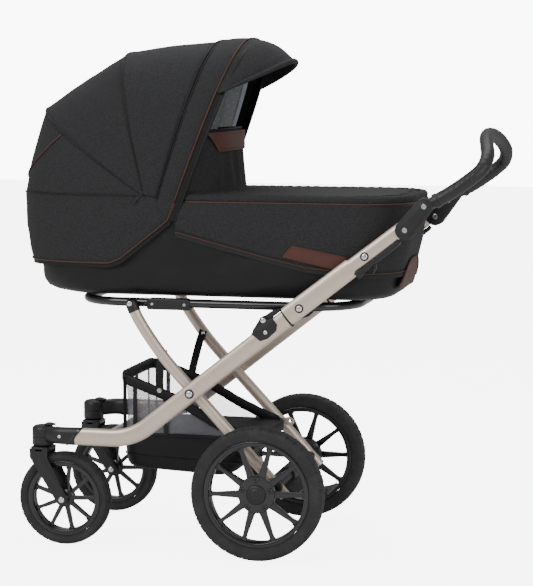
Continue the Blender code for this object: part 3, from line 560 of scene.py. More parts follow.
def growMesh(name, tree, mesh, look, body, replaces, smooth, sizes):
    seed = bpy.data.objects.new(name + "Seed", mesh)
    bpy.context.collection.objects.link(seed)
    step = seed.modifiers.new("grow", "NODES")
    step.node_group = trees[tree]
    for socket in trees[tree].interface.items_tree:
        if socket.in_out == "INPUT" and socket.name in sizes:
            step[socket.identifier] = sizes[socket.name]
        elif socket.in_out == "INPUT" and socket.name == "Finish":
            step[socket.identifier] = finish[look]
    graph = bpy.context.evaluated_depsgraph_get()
    made = bpy.data.meshes.new_from_object(seed.evaluated_get(graph), depsgraph=graph)
    seed.modifiers.clear()
    bpy.data.objects.remove(seed)
    weld = bmesh.new()
    weld.from_mesh(made)
    bmesh.ops.remove_doubles(weld, verts=weld.verts, dist=2e-6)
    bmesh.ops.recalc_face_normals(weld, faces=weld.faces)
    weld.to_mesh(made)
    weld.free()
    return settle(name, made, body, replaces, smooth)


def heads(name, kind, spots, radius, look, body, replaces=()):
    # spots holds (point, facing) pairs
    mesh = bpy.data.meshes.new(name + "Seed")
    mesh.from_pydata([tuple(p) for p, f in spots], [], [])
    facing = mesh.attributes.new("facing", "FLOAT_VECTOR", "POINT")
    for i, (p, f) in enumerate(spots):
        facing.data[i].vector = f
    return growMesh(name, kind, mesh, look, body, replaces, 30, {"Radius": radius})


def stitches(name, path, look, body, spacing=0.0042, length=0.0028, thread=0.0009):
    mesh = bpy.data.meshes.new(name + "Seed")
    mesh.from_pydata([tuple(p) for p in path], [(i, i + 1) for i in range(len(path) - 1)], [])
    return growMesh(name, "stitch", mesh, look, body, (), 60,
                    {"Spacing": spacing, "Length": length, "Thread": thread})


# where the chassis lies, in metres
slope = math.radians(38.5)             # lean of the long tubes
legPivot = (-0.110, 0.364)             # x, z where the legs cross them
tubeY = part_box("lower_tube_right")[0].y + 0.011
sides = ((-1, "left"), (1, "right"))


def along(u, v=0.0):
    c, s = math.cos(slope), math.sin(slope)
    return legPivot[0] + u * c - v * s, legPivot[1] + u * s + v * c


def middle(node):
    low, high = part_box(node)
    return (low + high) / 2


def link(one, r1, two, r2, count=14):  # outline of a bar with round ends
    turn = math.degrees(math.atan2(two[1] - one[1], two[0] - one[0]))
    return arc(one, r1, turn + 90, turn + 270, count) + arc(two, r2, turn - 90, turn + 90, count)


# wheels: sizes of one kind of wheel, its tread and its spokes
rearWheel = {"radius": 0.150, "width": 0.047, "bead": 0.1195, "pitches": 46, "slot": 0.0014,
             "rimIn": 0.1085, "rimHalf": 0.0178, "spokes": 10, "root": 0.0088, "waist": 0.0046, "flare": 0.0085,
             "start": 0.036, "face": (0.0015, 0.0125)}
frontWheel = {"radius": 0.107, "width": 0.040, "bead": 0.0865, "pitches": 36, "slot": 0.0012,
              "rimIn": 0.0738, "rimHalf": 0.0148, "spokes": 9, "root": 0.0056, "waist": 0.0040, "flare": 0.0070,
              "start": 0.016, "face": (-0.0045, 0.0048)}


def tyreSegment(size):
    half, radius, bead = size["width"] / 2, size["radius"], size["bead"]
    wall = [(bead, 0.70), (bead + 0.0016, 0.80), (bead + 0.0030, 0.86), (bead + 0.0042, 0.86),
            (bead + 0.0052, 0.905), (lerp(bead, radius, 0.42), 0.975), (lerp(bead, radius, 0.58), 1.0),
            (lerp(bead, radius, 0.72), 0.985), (radius - 0.0052, 0.93), (radius - 0.0028, 0.84)]
    crown = [(radius - 0.0012, 0.72), (radius - 0.0004, 0.52), (radius - 0.0003, 0.32),
             (radius - 0.0016, 0.28), (radius - 0.0016, 0.22), (radius - 0.0001, 0.18), (radius, 0.0)]
    edge = wall + crown
    profile = [(r, -f * half) for r, f in edge] + [(r, f * half) for r, f in edge[-2::-1]]
    step = 2 * math.pi / size["pitches"]
    rings = []
    for f in (0, 0.04, 0.07, 0.16, 0.19, 0.50, 0.54, 0.57, 0.66, 0.69, 1.0):
        points = []
        for r, y in profile:
            cut = 0.07 <= f <= 0.16 if y < 0 else 0.57 <= f <= 0.66
            deep = size["slot"] if cut and r > radius - 0.0055 and abs(y) > half * 0.30 else 0.0
            a = f * step
            points.append(((r - deep) * math.cos(a), y, -(r - deep) * math.sin(a)))
        rings.append(points)
    return skin(rings, wrap=True, caps=False)


def rimProfile(size):
    a, b, h = size["rimIn"], size["bead"] - 0.0004, size["rimHalf"]
    half = [(a + 0.0020, h), (a + 0.0008, h - 0.0008), (a, h - 0.003), (a - 0.0006, h * 0.62), (a - 0.0006, 0.0)]
    inner = half + [(r, -y) for r, y in half[-2::-1]]
    return inner + [(b - 0.0012, -h - 0.0006), (b, -h), (b, h), (b - 0.0012, h + 0.0006)]


def spokeOutline(size):
    a, b = size["start"], size["rimIn"] + 0.0015
    stations = [(a, size["root"] * 1.12), (lerp(a, b, 0.16), size["root"] * 0.86),
                (lerp(a, b, 0.45), lerp(size["root"], size["waist"], 0.62)), (lerp(a, b, 0.74), size["waist"]),
                (lerp(a, b, 0.88), size["waist"] * 1.08), (lerp(a, b, 0.93), size["flare"] * 0.72),
                (b, size["flare"])]
    upper = smoothPath([(r, 0, w) for r, w in stations], 3)
    return [(p.x, p.z) for p in upper] + [(p.x, -p.z) for p in upper[::-1]]


def notchPair(size, side):             # two small steps where a spoke meets the rim
    y0, y1 = sorted((side * (size["face"][1] - 0.001), side * (size["face"][1] + 0.0016)))
    r = size["rimIn"]
    parts = []
    for z in (-1, 1):
        middleZ = z * size["flare"] * 0.62
        outline = [(r - 0.0062, middleZ - 0.0016), (r + 0.001, middleZ - 0.0020), (r + 0.001, middleZ + 0.0020),
                   (r - 0.0062, middleZ + 0.0016)]
        parts.append(plate(outline, y0, y1, 0.0005, segments=2))
    return joined(*parts)


def wheel(kind, side, end, size):
    body = f"{kind}_wheel_{end}"
    centre = middle(f"{kind}_tyre_{end}")
    spin = {"Count": size["spokes"], "Turn": math.radians(-2), "Centre": tuple(centre)}
    grow(f"{kind}Tyre_{end}", "around", tyreSegment(size), "tyre", body, (f"{kind}_tyre_{end}",), smooth=32,
         Count=size["pitches"], Turn=0.0, Centre=tuple(centre))
    place(f"{kind}Rim_{end}", turned(rimProfile(size), centre, 96), "gloss", body, (f"{kind}_rim_{end}",))
    y0, y1 = sorted(side * v for v in size["face"])
    grow(f"{kind}Spokes_{end}", "around", plate(spokeOutline(size), y0, y1, 0.0016), "gloss", body, **spin)
    grow(f"{kind}Notches_{end}", "around", notchPair(size, side), "gloss", body, **spin)
    return body, centre


def rearHub(side, end, body, centre):
    flange = [(0.0066, -0.0195), (0.020, -0.0195), (0.0212, -0.0180), (0.0212, -0.004), (0.0400, -0.001),
              (0.0420, 0.0010), (0.0420, 0.0128), (0.0408, 0.0142), (0.0290, 0.0150), (0.0066, 0.0150)]
    place(f"rearFlange_{end}", turned([(r, side * y) for r, y in flange], centre, 72), "gloss", body)
    cap = [(0, 0.0222), (0.0090, 0.0220), (0.0132, 0.0212), (0.0142, 0.0202), (0.0150, 0.0202),
           (0.0206, 0.0190), (0.0222, 0.0172), (0.0226, 0.0152), (0, 0.0152)]
    place(f"rearCap_{end}", turned([(r, side * y) for r, y in cap], centre, 64), "moulded", body,
          (f"rear_hub_cap_{end}",))
    spots = []
    for n in range(5):
        a = math.radians(18 + 72 * n)
        spots.append((centre + Vector((0.0338 * math.cos(a), side * 0.0143, 0.0338 * math.sin(a))), (0, side, 0)))
    heads(f"rearBolts_{end}", "screw", spots, 0.0058, "gloss", body)
    heads(f"rearBoltSeats_{end}", "washer", spots, 0.0072, "moulded", body)


def frontHub(side, end, body, centre):
    barrel = [(0.0046, -0.0236), (0.0118, -0.0236), (0.0130, -0.0224), (0.0130, -0.0085), (0.0200, -0.0060),
              (0.0210, -0.0048), (0.0210, 0.0048), (0.0200, 0.0060), (0.0130, 0.0085), (0.0130, 0.0224),
              (0.0118, 0.0236), (0.0046, 0.0236)]
    place(f"frontHub_{end}", turned(barrel, centre, 56), "gloss", body)


for side, end in sides:
    rearHub(side, end, *wheel("rear", side, end, rearWheel))
    frontHub(side, end, *wheel("front", side, end, frontWheel))
print("wheels ready")

# front forks and the housings that they turn in
castorSize = {"stem": (-0.468, 0.0), "top": 0.274, "bottom": 0.2265, "capRadius": 0.0245, "legY": (0.0245, 0.0308)}


def castorFork(side, end):
    body, stemX = f"castor_{end}", castorSize["stem"][0]
    axle = middle(f"front_axle_{end}")
    crown = roundedPlan(stemX - 0.023, stemX + 0.021, 0.0308, 0.014)
    crown = plate([(x, y + axle.y) for x, y in crown], 0.2150, castorSize["bottom"] - 0.0004, 0.0022, axis="Z")
    shape = [(stemX - 0.0228, 0.2230), (stemX - 0.0226, 0.2020), *arc((axle.x, axle.z), 0.0135, 207, 387, 22),
             (stemX + 0.0195, 0.2030), (stemX + 0.0208, 0.2230)]
    legs = []
    for low in (castorSize["legY"][0], -castorSize["legY"][1]):
        legs.append(plate(shape, axle.y + low, axle.y + low + 0.0063, 0.0016))
    place(f"castorFork_{end}", joined(crown, *legs), "moulded", body, (f"castor_fork_{end}",))
    # a raised spine on the outer face of each leg
    spine = link((axle.x + 0.0005, axle.z + 0.0175), 0.0048, (stemX - 0.0010, 0.2040), 0.0085)
    ribs = [plate(spine, axle.y + y - 0.0004, axle.y + y + 0.0008, 0.0006, segments=2) for y in (0.0308, -0.0312)]
    place(f"forkSpine_{end}", joined(*ribs), "moulded", body)
    pin = [(0, -0.0336), (0.0048, -0.0334), (0.0068, -0.0322), (0.0072, -0.0312), (0.0042, -0.0311),
           (0.0042, 0.0311), (0.0072, 0.0312), (0.0068, 0.0322), (0.0048, 0.0334), (0, 0.0336)]
    place(f"frontAxle_{end}", turned(pin, axle, 40), "steel", body, (f"front_axle_{end}",))
    rings = [((axle.x, axle.y + s * 0.0309, axle.z), (0, s, 0)) for s in (-1, 1)]
    heads(f"axleWashers_{end}", "washer", rings, 0.0098, "gloss", body)


def castorHousing(side, end):
    body = "lower_frame"
    x, y, top, low = castorSize["stem"][0], middle(f"front_axle_{end}").y, castorSize["top"], castorSize["bottom"]
    r = castorSize["capRadius"]
    cap = [(0, low), (r - 0.0030, low), (r - 0.0012, low + 0.0012), (r, low + 0.0040), (r, low + 0.0205),
           (r - 0.0008, low + 0.0210), (r - 0.0008, low + 0.0222), (r, low + 0.0227), (r, top - 0.0085),
           (r - 0.0012, top - 0.0048), (r - 0.0042, top - 0.0018), (r - 0.009, top - 0.0003), (0, top)]
    cap = turned(cap, (x, y, 0), 56, axis="Z")
    path = smoothPath([(-0.3785, side * tubeY, 0.255), (-0.400, side * tubeY, 0.255),
                       (-0.425, side * (tubeY - 0.003), 0.255), (-0.458, side * (abs(y) + 0.004), 0.253)], 8)
    def sleeveShape(t):
        flat = smoothStep(t)
        return oval(lerp(0.0252, 0.0300, flat), lerp(0.0408, 0.0380, flat), 2.7)
    sleeve = sweep(path, sleeveShape)
    cut = [p + Vector((p.z - 0.255, 0, 0)) * 0.8 for p in sleeve[0]]    # slanting cut against the tube
    place(f"castorHousing_{end}", joined(cap, skin([cut] + sleeve[1:])), "moulded", body,
          (f"castor_housing_{end}",))
    lip = sweep([path[1] + Vector((-0.001, 0, 0)), path[3]], oval(0.0272, 0.0424, 2.7))
    for row in lip:
        for p in row:
            p.x += (p.z - 0.255) * 0.8
    place(f"housingLip_{end}", skin(lip), "gloss", body)
    bolt = [((x + 0.052, side * (tubeY + 0.0128), 0.255), (0, side, 0))]
    heads(f"housingBolt_{end}", "rivet", bolt, 0.0042, "steel", body)


def lockLever(side, end):
    body, low = f"swivel_lock_{end}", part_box(f"swivel_lock_{end}")
    z, y, x = low[0].z, middle(f"swivel_lock_{end}").y, low[0].x
    outline = [(x, z), (x + 0.024, z), (x + 0.0242, z + 0.0024), (x + 0.0085, z + 0.0054), (x + 0.003, z + 0.0050),
               (x, z + 0.0036)]
    place(f"lockLever_{end}", plate(outline, y - 0.008, y + 0.008, 0.0009), "gloss", body,
          (f"swivel_lock_{end}",))
    rib = plate([(0, 0), (0.0011, 0), (0.0010, 0.0010), (0.0001, 0.0010)], y - 0.0062, y + 0.0062, 0.0003,
                segments=1)
    bmesh.ops.translate(rib, vec=(x + 0.0105, 0, z + 0.0044), verts=rib.verts)
    grow(f"leverRibs_{end}", "rib", rib, "moulded", body, Count=5, Step=(0.0023, 0.0, -0.00045))


for side, end in sides:
    castorFork(side, end)
    castorHousing(side, end)
    lockLever(side, end)
print("castors ready")


# sizes of the tubes, as oval width and height or as a radius
lowTube = {"bend": 0.14, "level": 0.255, "oval": (0.022, 0.040), "washer": 0.0108, "rivet": 0.0078}
legTube = {"radius": 0.013, "capRadius": 0.0141, "inner": 0.1985,
           "path": [(-0.2470, 0.5425), (-0.2360, 0.5210), (-0.2085, 0.4790), (-0.1690, 0.4280), legPivot,
                    (-0.030, 0.2785), (0.080, 0.160), (0.102, 0.1365)],
           "cap": [(-0.2465, 0.5415), (-0.2515, 0.5530), (-0.2555, 0.5640), (-0.2568, 0.5690)]}
rearCross = (0.080, 0.160)             # x, z of the tube between the legs' feet
frontCross = (-0.318, 0.250)
brake = {"collar": 0.0185, "half": 0.070, "footHalf": 0.060, "bow": (0.050, 0.030), "outer": 0.085, "inner": 0.078,
         "ribs": 6, "ribStep": (0.0085, 0.0, -0.0009)}


def lowerTube(side, end):
    bend, level = lowTube["bend"], lowTube["level"]
    corner = legPivot[0] + (level - legPivot[1]) / math.tan(slope)
    start = corner - bend * math.tan(slope / 2)
    path = [(-0.398, level), (-0.377, level), *arc((start, level + bend), bend, -90, -90 + 38.5, 24),
            along(0.1), along(0.28)]
    rings = sweep([(x, side * tubeY, z) for x, z in path], oval(*lowTube["oval"]))
    place(f"lowerTube_{end}", skin(rings), "champagne", "lower_frame", (f"lower_tube_{end}",))
    x, z = along(0.0)                  # the legs' pivot bolt goes through here
    for name, kind, proud, look in (("Washer", "washer", 0.0108, "moulded"), ("Rivet", "rivet", 0.0114, "steel")):
        spot = [(Vector((x, side * (tubeY + proud), z)), (0, side, 0))]
        heads(f"pivot{name}_{end}", kind, spot, lowTube[kind], look, "lower_frame")


def leg(side, end):
    y = middle(f"leg_{end}").y
    rings = sweep(smoothPath([(x, y, z) for x, z in legTube["path"]], 8), ring(legTube["radius"], 28))
    place(f"legTube_{end}", skin(rings), "champagne", "rear_legs", (f"leg_{end}",))
    cap = smoothPath([(x, y, z) for x, z in legTube["cap"]], 5)
    def shape(t):
        return ring(legTube["capRadius"] * math.sqrt(max(0.02, 1 - max(0.0, (t - 0.35) / 0.65) ** 2.4)), 28)
    place(f"legCap_{end}", skin(sweep(cap, shape)), "moulded", "rear_legs", (f"leg_cap_{end}",))
    inner = side * legTube["inner"]
    spacer = [(0.0, y + side * 0.0115), (0.0085, y + side * 0.0115), (0.0095, y + side * 0.0128), (0.0095, inner),
              (0.0, inner)]
    place(f"legSpacer_{end}", turned(spacer, (legPivot[0], 0, legPivot[1]), 36), "moulded", "rear_legs")


def axleBlock(side, end):
    axle = middle(f"rear_tyre_{end}")
    low, high = sorted((side * legTube["inner"], side * 0.2150))
    base = plate(link(rearCross, 0.0200, (axle.x, axle.z), 0.0190), low, high, 0.0022)
    step = plate(link(rearCross, 0.0150, (axle.x, axle.z), 0.0140), *sorted((side * 0.2140, side * 0.2175)), 0.0012)
    stub = turned([(0, side * 0.2100), (0.0105, side * 0.2100), (0.0105, side * 0.2178), (0.006, side * 0.2184),
                   (0.006, side * 0.2528), (0, side * 0.2530)], (axle.x, 0, axle.z), 32)
    place(f"axleBlock_{end}", joined(base, step, stub), "moulded", "rear_legs", (f"axle_block_{end}",))


def crossTubes():
    half = 0.1715
    rear = [(0.0100, -half), (0.0120, -half), (0.0125, -half + 0.001), (0.0125, half - 0.001), (0.0120, half),
            (0.0100, half)]
    tube = turned(rear, (rearCross[0], 0, rearCross[1]), 48)
    place("rearCrossTube", tube, "moulded", "rear_legs", ("rear_cross_tube",))
    reach = tubeY - 0.0116
    front = [(0.0085, -reach), (0.0105, -reach), (0.011, -reach + 0.001), (0.011, reach - 0.001), (0.0105, reach),
             (0.0085, reach)]
    place("frontCrossTube", turned(front, (frontCross[0], 0, frontCross[1]), 48), "champagne", "lower_frame",
          ("front_cross_tube",))


def brakePedal():
    (x, z), r, half, wide = rearCross, brake["collar"], brake["half"], brake["footHalf"]
    collar = [(r - 0.0055, -half), (r - 0.001, -half), (r, 0.0012 - half), (r, half - 0.0012), (r - 0.001, half),
              (r - 0.0055, half)]
    bow = (x + brake["bow"][0], z + brake["bow"][1])
    outer, inner = arc(bow, brake["outer"], 215, 300, 30), arc(bow, brake["inner"], 300, 213, 30)
    foot = plate([(x - 0.0155, z - 0.006), *outer, *inner, (x - 0.0140, z + 0.004)], -wide, wide, 0.0018)
    place("brakePedal", joined(turned(collar, (x, 0, z), 48), foot), "moulded", "brake_pedal", ("brake_pedal",))
    rib = plate([(0, -0.0008), (0.0030, -0.0008), (0.0030, 0.0011), (0, 0.0011)], -0.050, 0.050, 0.0005, segments=1)
    turn = Matrix.Rotation(math.radians(22), 4, "Y")
    bmesh.ops.transform(rib, matrix=Matrix.Translation((x + 0.022, 0, z - 0.0435)) @ turn, verts=rib.verts)
    grow("pedalRibs", "rib", rib, "gloss", "brake_pedal", Count=brake["ribs"], Step=brake["ribStep"])


for side, end in sides:
    lowerTube(side, end)
    leg(side, end)
    axleBlock(side, end)
crossTubes()
brakePedal()
print("tubes and legs ready")


# along and above the long tube, from the legs' pivot
hinge, seam = (0.238, 0.028), 0.280
highTube = {"wide": 0.022, "rivets": ((0.319, 0.0), (0.505, 0.002)), "washer": 0.0098, "rivet": 0.0070,
            "stations": [(seam + 0.0042, 0.0028, 0.0445), (0.330, 0.0024, 0.0445), (0.445, 0.0008, 0.0432),
                         (0.4640, 0.0006, 0.0430), (0.4690, 0.0028, 0.0325), (0.4720, 0.0028, 0.0318),
                         (0.6235, 0.0006, 0.0300)]}


def foldSaddle(side, end):
    u, v = hinge
    top = [(u + a, v + b) for a, b in arc((0, 0), 0.009, 130, -40, 18)]
    lug = [along(*p) for p in [(u - 0.036, 0.0203), (u - 0.033, 0.0252), *top, (u + 0.0095, 0.0203)]]
    hole = [along(u + a, v + b) for a, b in ring(0.0034, 16)]
    block = [(u - 0.0355, 0.0203), (u - 0.0325, 0.0253), (u - 0.0095, 0.0300), (u - 0.0095, 0.0203)]
    parts = [plate(lug, *sorted((side * (tubeY + a), side * (tubeY + b))), 0.0012, holes=[hole])
             for a, b in ((0.0063, 0.0108), (-0.0108, -0.0063))]
    parts.append(plate([along(*p) for p in block], side * tubeY - 0.0085, side * tubeY + 0.0085, 0.001))
    # flanks that wrap the tube below each lug
    flank = [along(*p) for p in [(u - 0.040, 0.0210), (u - 0.034, -0.004), (u - 0.016, -0.010), (u + 0.010, -0.008),
                                 (u + 0.020, 0.002), (u + 0.020, 0.0205), (u + 0.0095, 0.0235), (u - 0.030, 0.0235)]]
    for a, b in ((0.0103, 0.0124), (-0.0124, -0.0103)):
        parts.append(plate(flank, *sorted((side * (tubeY + a), side * (tubeY + b))), 0.0009, segments=2))
    place(f"foldSaddle_{end}", joined(*parts), "moulded", "lower_frame", (f"fold_bracket_{end}",))
    x, z = along(u - 0.012, 0.004)
    spot = [((x, side * (tubeY + 0.0122), z), (0, side, 0))]
    heads(f"saddleRivet_{end}", "rivet", spot, 0.0048, "steel", "lower_frame")


def knuckle(side, end):
    u, v = hinge
    nose = [(u + a, v + b) for a, b in arc((0, 0), 0.0068, 90, 270, 16)]
    tongue = [along(*p) for p in [*nose, (seam + 0.002, 0.0212), (seam + 0.002, 0.0250), (seam - 0.010, 0.0330)]]
    hole = [along(u + a, v + b) for a, b in ring(0.0034, 16)]
    tongue = plate(tongue, side * tubeY - 0.0058, side * tubeY + 0.0058, 0.0010, holes=[hole])
    ends = [[Vector((*along(w, b)[:1], side * tubeY + a, along(w, b)[1])) for a, b in oval(0.0222, 0.0455, 2.6)]
            for w in (seam + 0.0004, seam + 0.0044)]
    place(f"foldKnuckle_{end}", joined(tongue, skin(ends)), "moulded", "upper_frame", (f"fold_knuckle_{end}",))
    x, z = along(u, v)
    pin = [(0, -0.0131), (0.0040, -0.0129), (0.0056, -0.0119), (0.0056, -0.0111), (0.0031, -0.0111),
           (0.0031, 0.0111), (0.0056, 0.0111), (0.0056, 0.0119), (0.0040, 0.0129), (0, 0.0131)]
    place(f"foldPin_{end}", turned(pin, (x, side * tubeY, z), 32), "steel", "upper_frame",
          (f"fold_hinge_pin_{end}",))


def upperTube(side, end):
    rings = []
    for u, v, tall in highTube["stations"]:
        rings.append([Vector((along(u, v + b)[0], side * tubeY + a, along(u, v + b)[1]))
                      for a, b in oval(highTube["wide"], tall)])
    place(f"upperTube_{end}", skin(rings), "champagne", "upper_frame", (f"upper_tube_{end}",))
    spots = []
    for u, v in highTube["rivets"]:
        x, z = along(u, v)
        spots.append((Vector((x, side * (tubeY + 0.0106), z)), (0, side, 0)))
    heads(f"upperWashers_{end}", "washer", spots, highTube["washer"], "moulded", "upper_frame")
    raised = [(p + Vector((0, side * 0.0005, 0)), f) for p, f in spots]
    heads(f"upperRivets_{end}", "rivet", raised, highTube["rivet"], "steel", "upper_frame")


def foldRelease(side, end):
    outline = [(0.4692, -0.0140), (0.4692, -0.0222), (0.4755, -0.0253), (0.5800, -0.0243), (0.5850, -0.0215),
               (0.5850, -0.0148)]
    guide = plate([along(*p) for p in outline], side * tubeY - 0.0095, side * tubeY + 0.0095, 0.0016)
    block = [(0.4640, -0.0128), (0.4640, -0.0270), (0.4665, -0.0292), (0.4790, -0.0282), (0.4820, -0.0255),
             (0.4820, -0.0128)]
    block = plate([along(*p) for p in block], side * tubeY - 0.0112, side * tubeY + 0.0112, 0.0016)
    place(f"releaseGuide_{end}", joined(guide, block), "moulded", "upper_frame",
          (f"release_sleeve_{end}",))
    shape = [(0.5150, -0.0262), (0.5135, -0.0300), (0.5085, -0.0345), (0.4990, -0.0388), (0.4966, -0.0385),
             (0.4962, -0.0368), (0.5020, -0.0318), (0.5052, -0.0290), (0.5060, -0.0262)]
    fin = plate([along(*p) for p in shape], side * tubeY - 0.0075, side * tubeY + 0.0075, 0.001)
    place(f"foldTrigger_{end}", fin, "gloss", f"fold_trigger_{end}", (f"fold_trigger_{end}",))


for side, end in sides:
    foldSaddle(side, end)
    knuckle(side, end)
    upperTube(side, end)
    foldRelease(side, end)
print("fold hinge ready")

# half of the handle's path, from the housing round to the middle
pushHandle = {"tilt": along(0.6106, -0.0065), "upper": (0.4130, 0.7905), "button": (0.4030, 0.7785),
              "bar": 0.0130, "grip": 0.0161, "root": (0.4185, 0.7932),
              "half": [(0.4350, 0.2100, 0.8010), (0.4650, 0.2090, 0.8180), (0.5000, 0.2050, 0.8420),
                       (0.5310, 0.1930, 0.8690), (0.5400, 0.1640, 0.8960), (0.5330, 0.1230, 0.9190),
                       (0.5250, 0.0720, 0.9330), (0.5220, 0.0, 0.9375)]}


def handleHousing(side, end):
    low, high = pushHandle["tilt"], pushHandle["upper"]
    cheek = link(low, 0.0215, high, 0.0180, 22)
    parts = [plate(cheek, *sorted((side * (tubeY + a), side * (tubeY + b))), 0.0016)
             for a, b in ((0.0114, 0.0153), (-0.0153, -0.0114))]
    turn = math.atan2(high[1] - low[1], high[0] - low[0])
    c, s = math.cos(turn), math.sin(turn)
    block = [(low[0] + c * d - s * h, low[1] + s * d + c * h)
             for d, h in ((0.0268, -0.0168), (0.0268, 0.0168), (0.0770, 0.0150), (0.0810, -0.0120))]
    parts.append(plate(block, side * tubeY - 0.0135, side * tubeY + 0.0135, 0.003))
    raised = link(low, 0.0150, high, 0.0118, 22)                    # raised panel on the outer cheek
    parts.append(plate(raised, *sorted((side * (tubeY + 0.0150), side * (tubeY + 0.0162))), 0.0008, segments=2))
    place(f"handleHousing_{end}", joined(*parts), "moulded", "handle", (f"handle_housing_{end}",))
    spots = [((low[0], side * (tubeY + 0.0161), low[1]), (0, side, 0)),
             ((high[0], side * (tubeY + 0.0161), high[1]), (0, side, 0)),
             ((low[0], side * (tubeY - 0.0152), low[1]), (0, -side, 0))]
    heads(f"housingScrews_{end}", "screw", spots, 0.0058, "steel", "handle")
    x, z = pushHandle["button"]
    knob = [(0, -0.0102), (0.0098, -0.0102), (0.0098, -0.0162), (0.0090, -0.0180), (0.0074, -0.0186),
            (0.0066, -0.0180), (0, -0.0178)]
    place(f"tiltButton_{end}", turned([(r, side * (tubeY + y)) for r, y in knob], (x, 0, z), 40), "gloss",
          f"tilt_button_{end}", (f"tilt_button_{end}",))


def handleBar():
    half = pushHandle["half"]
    points = [(x, -y, z) for x, y, z in half] + [(x, y, z) for x, y, z in half[-2::-1]]
    root = pushHandle["root"]
    ends = [(root[0], -tubeY, root[1]), (root[0], tubeY, root[1])]
    whole = evenPath(smoothPath([ends[0], *points, ends[1]], 16), 170)
    place("handleBar", skin(sweep(whole, ring(pushHandle["bar"], 24))), "moulded", "handle", ("handle_bar",))
    points[0], points[-1] = [(x + 0.0035, y, z + 0.0017) for x, y, z in (points[0], points[-1])]
    inner = evenPath(smoothPath(points, 16), 300)
    def wrap(t):
        ends = min(1.0, min(t, 1 - t) / 0.012)
        crease = 0.00022 * math.sin(t * 310) + 0.00035 * noise.noise((t * 60, 0, 0)) \
            + 0.00022 * math.sin(t * 900) * bump(t, 0.5, 0.2)
        return ring((pushHandle["grip"] - 0.0012) * (0.90 + 0.10 * math.sqrt(ends)) + crease, 40)
    place("gripLeather", skin(sweep(inner, wrap)), "grip", "handle", ("handle_grip",), smooth=60)
    rings = sweep(inner, ring(pushHandle["grip"] - 0.0009, 40))
    row = 14                                                       # the seam runs along the inner side
    seamPath = [r[row] for r in rings[6:-6]]
    place("gripSeam", skin(sweep(seamPath, ring(0.0009, 8))), "grip", "handle")
    for shift in (-2, 2):
        stitches(f"gripStitches{'A' if shift < 0 else 'B'}", [r[row + shift] for r in rings[6:-6]], "grip",
                 "handle", 0.0052, 0.0036, 0.0011)
    for side, end in sides:
        tip = points[0 if side < 0 else -1]
        ahead = inner[12] if side < 0 else inner[-13]
        reach = Vector(tip)
        way = (Vector(ahead) - reach).normalized()
        collar = sweep([reach - way * 0.005, reach - way * 0.0045, reach + way * 0.0035, reach + way * 0.004],
                       lambda t: ring(0.0164 if 0.1 < t < 0.9 else 0.0156, 32))
        place(f"gripCollar_{end}", skin(collar), "moulded", "handle")


for side, end in sides:
    handleHousing(side, end)
handleBar()
print("handle ready")

carrierSize = {"z": 0.560, "radius": 0.0100, "front": -0.394, "rear": 0.245, "half": 0.160, "corner": 0.11}


def carrierRing():
    c = carrierSize
    plan = roundedPlan(c["front"], c["rear"], c["half"], c["corner"], 18)
    rings = sweep([(x, y, c["z"]) for x, y in plan], ring(c["radius"], 24), side=(0, 0, 1), closed=True)
    parts = [skin(rings, closed=True, caps=False)]
    x, z = along(0.319)
    for side, end in sides:
        bush = [(0, side * 0.160), (0.0080, side * 0.160), (0.0080, side * 0.1972), (0.0070, side * 0.1984),
                (0, side * 0.1984)]
        parts.append(turned(bush, (x, 0, z), 32))
    place("carrierRing", joined(*parts), "gloss", "carrier", ("carrier_ring",))
    for side, end in sides:                                        # clip block round the ring
        y = side * c["half"]
        outline = [(-0.223, 0.5470), (-0.219, 0.5448), (-0.126, 0.5448), (-0.122, 0.5470), (-0.122, 0.5660),
                   (-0.128, 0.5702), (-0.217, 0.5702), (-0.223, 0.5660)]
        place(f"ringClip_{end}", plate(outline, y - 0.0125, y + 0.0125, 0.0030, segments=4), "moulded", "carrier")
        spots = [((x, side * (0.160 + 0.0123), 0.5575), (0, side, 0)) for x in (-0.210, -0.135)]
        heads(f"clipScrews_{end}", "screw", spots, 0.0034, "steel", "carrier")
        bolt = [((-0.255, side * 0.1975, 0.560), (0, side, 0))]
        heads(f"ringBolt_{end}", "rivet", bolt, 0.0062, "steel", "rear_legs")
        spacer = [(0, side * 0.1695), (0.0068, side * 0.1695), (0.0068, side * 0.1736), (0, side * 0.1736)]
        place(f"ringSpacer_{end}", turned(spacer, (-0.255, 0, 0.560), 28), "moulded", "carrier")


carrierRing()
print("carrier ready")

def interp(points, x):                 # straight lines through (x, value) points
    if x <= points[0][0]:
        return points[0][1]
    for (xa, a), (xb, b) in zip(points, points[1:]):
        if x <= xb:
            return lerp(a, b, (x - xa) / (xb - xa))
    return points[-1][1]


def cloth(name, rows, look, body, thick=0.0014, replaces=(), wrap=False, smooth=60):
    # a sheet from rows of points, its map in metres, then given its thickness
    bm = bmesh.new()
    grid = [[bm.verts.new(p) for p in row] for row in rows]
    mapping = bm.loops.layers.uv.new("cloth")
    reach, v = len(rows[0]) if wrap else len(rows[0]) - 1, 0.0
    for one, two in zip(range(len(rows) - 1), range(1, len(rows))):
        u, rise = 0.0, (Vector(rows[two][len(rows[0]) // 2]) - Vector(rows[one][len(rows[0]) // 2])).length
        for j in range(reach):
            k = (j + 1) % len(rows[0])
            run = (Vector(rows[one][k]) - Vector(rows[one][j])).length
            face = bm.faces.new((grid[one][j], grid[one][k], grid[two][k], grid[two][j]))
            for loop, spot in zip(face.loops, ((u, v), (u + run, v), (u + run, v + rise), (u, v + rise))):
                loop[mapping].uv = spot
            u += run
        v += rise
    bmesh.ops.recalc_face_normals(bm, faces=bm.faces)
    bmesh.ops.solidify(bm, geom=list(bm.faces), thickness=thick)
    return place(name, bm, look, body, replaces, smooth)


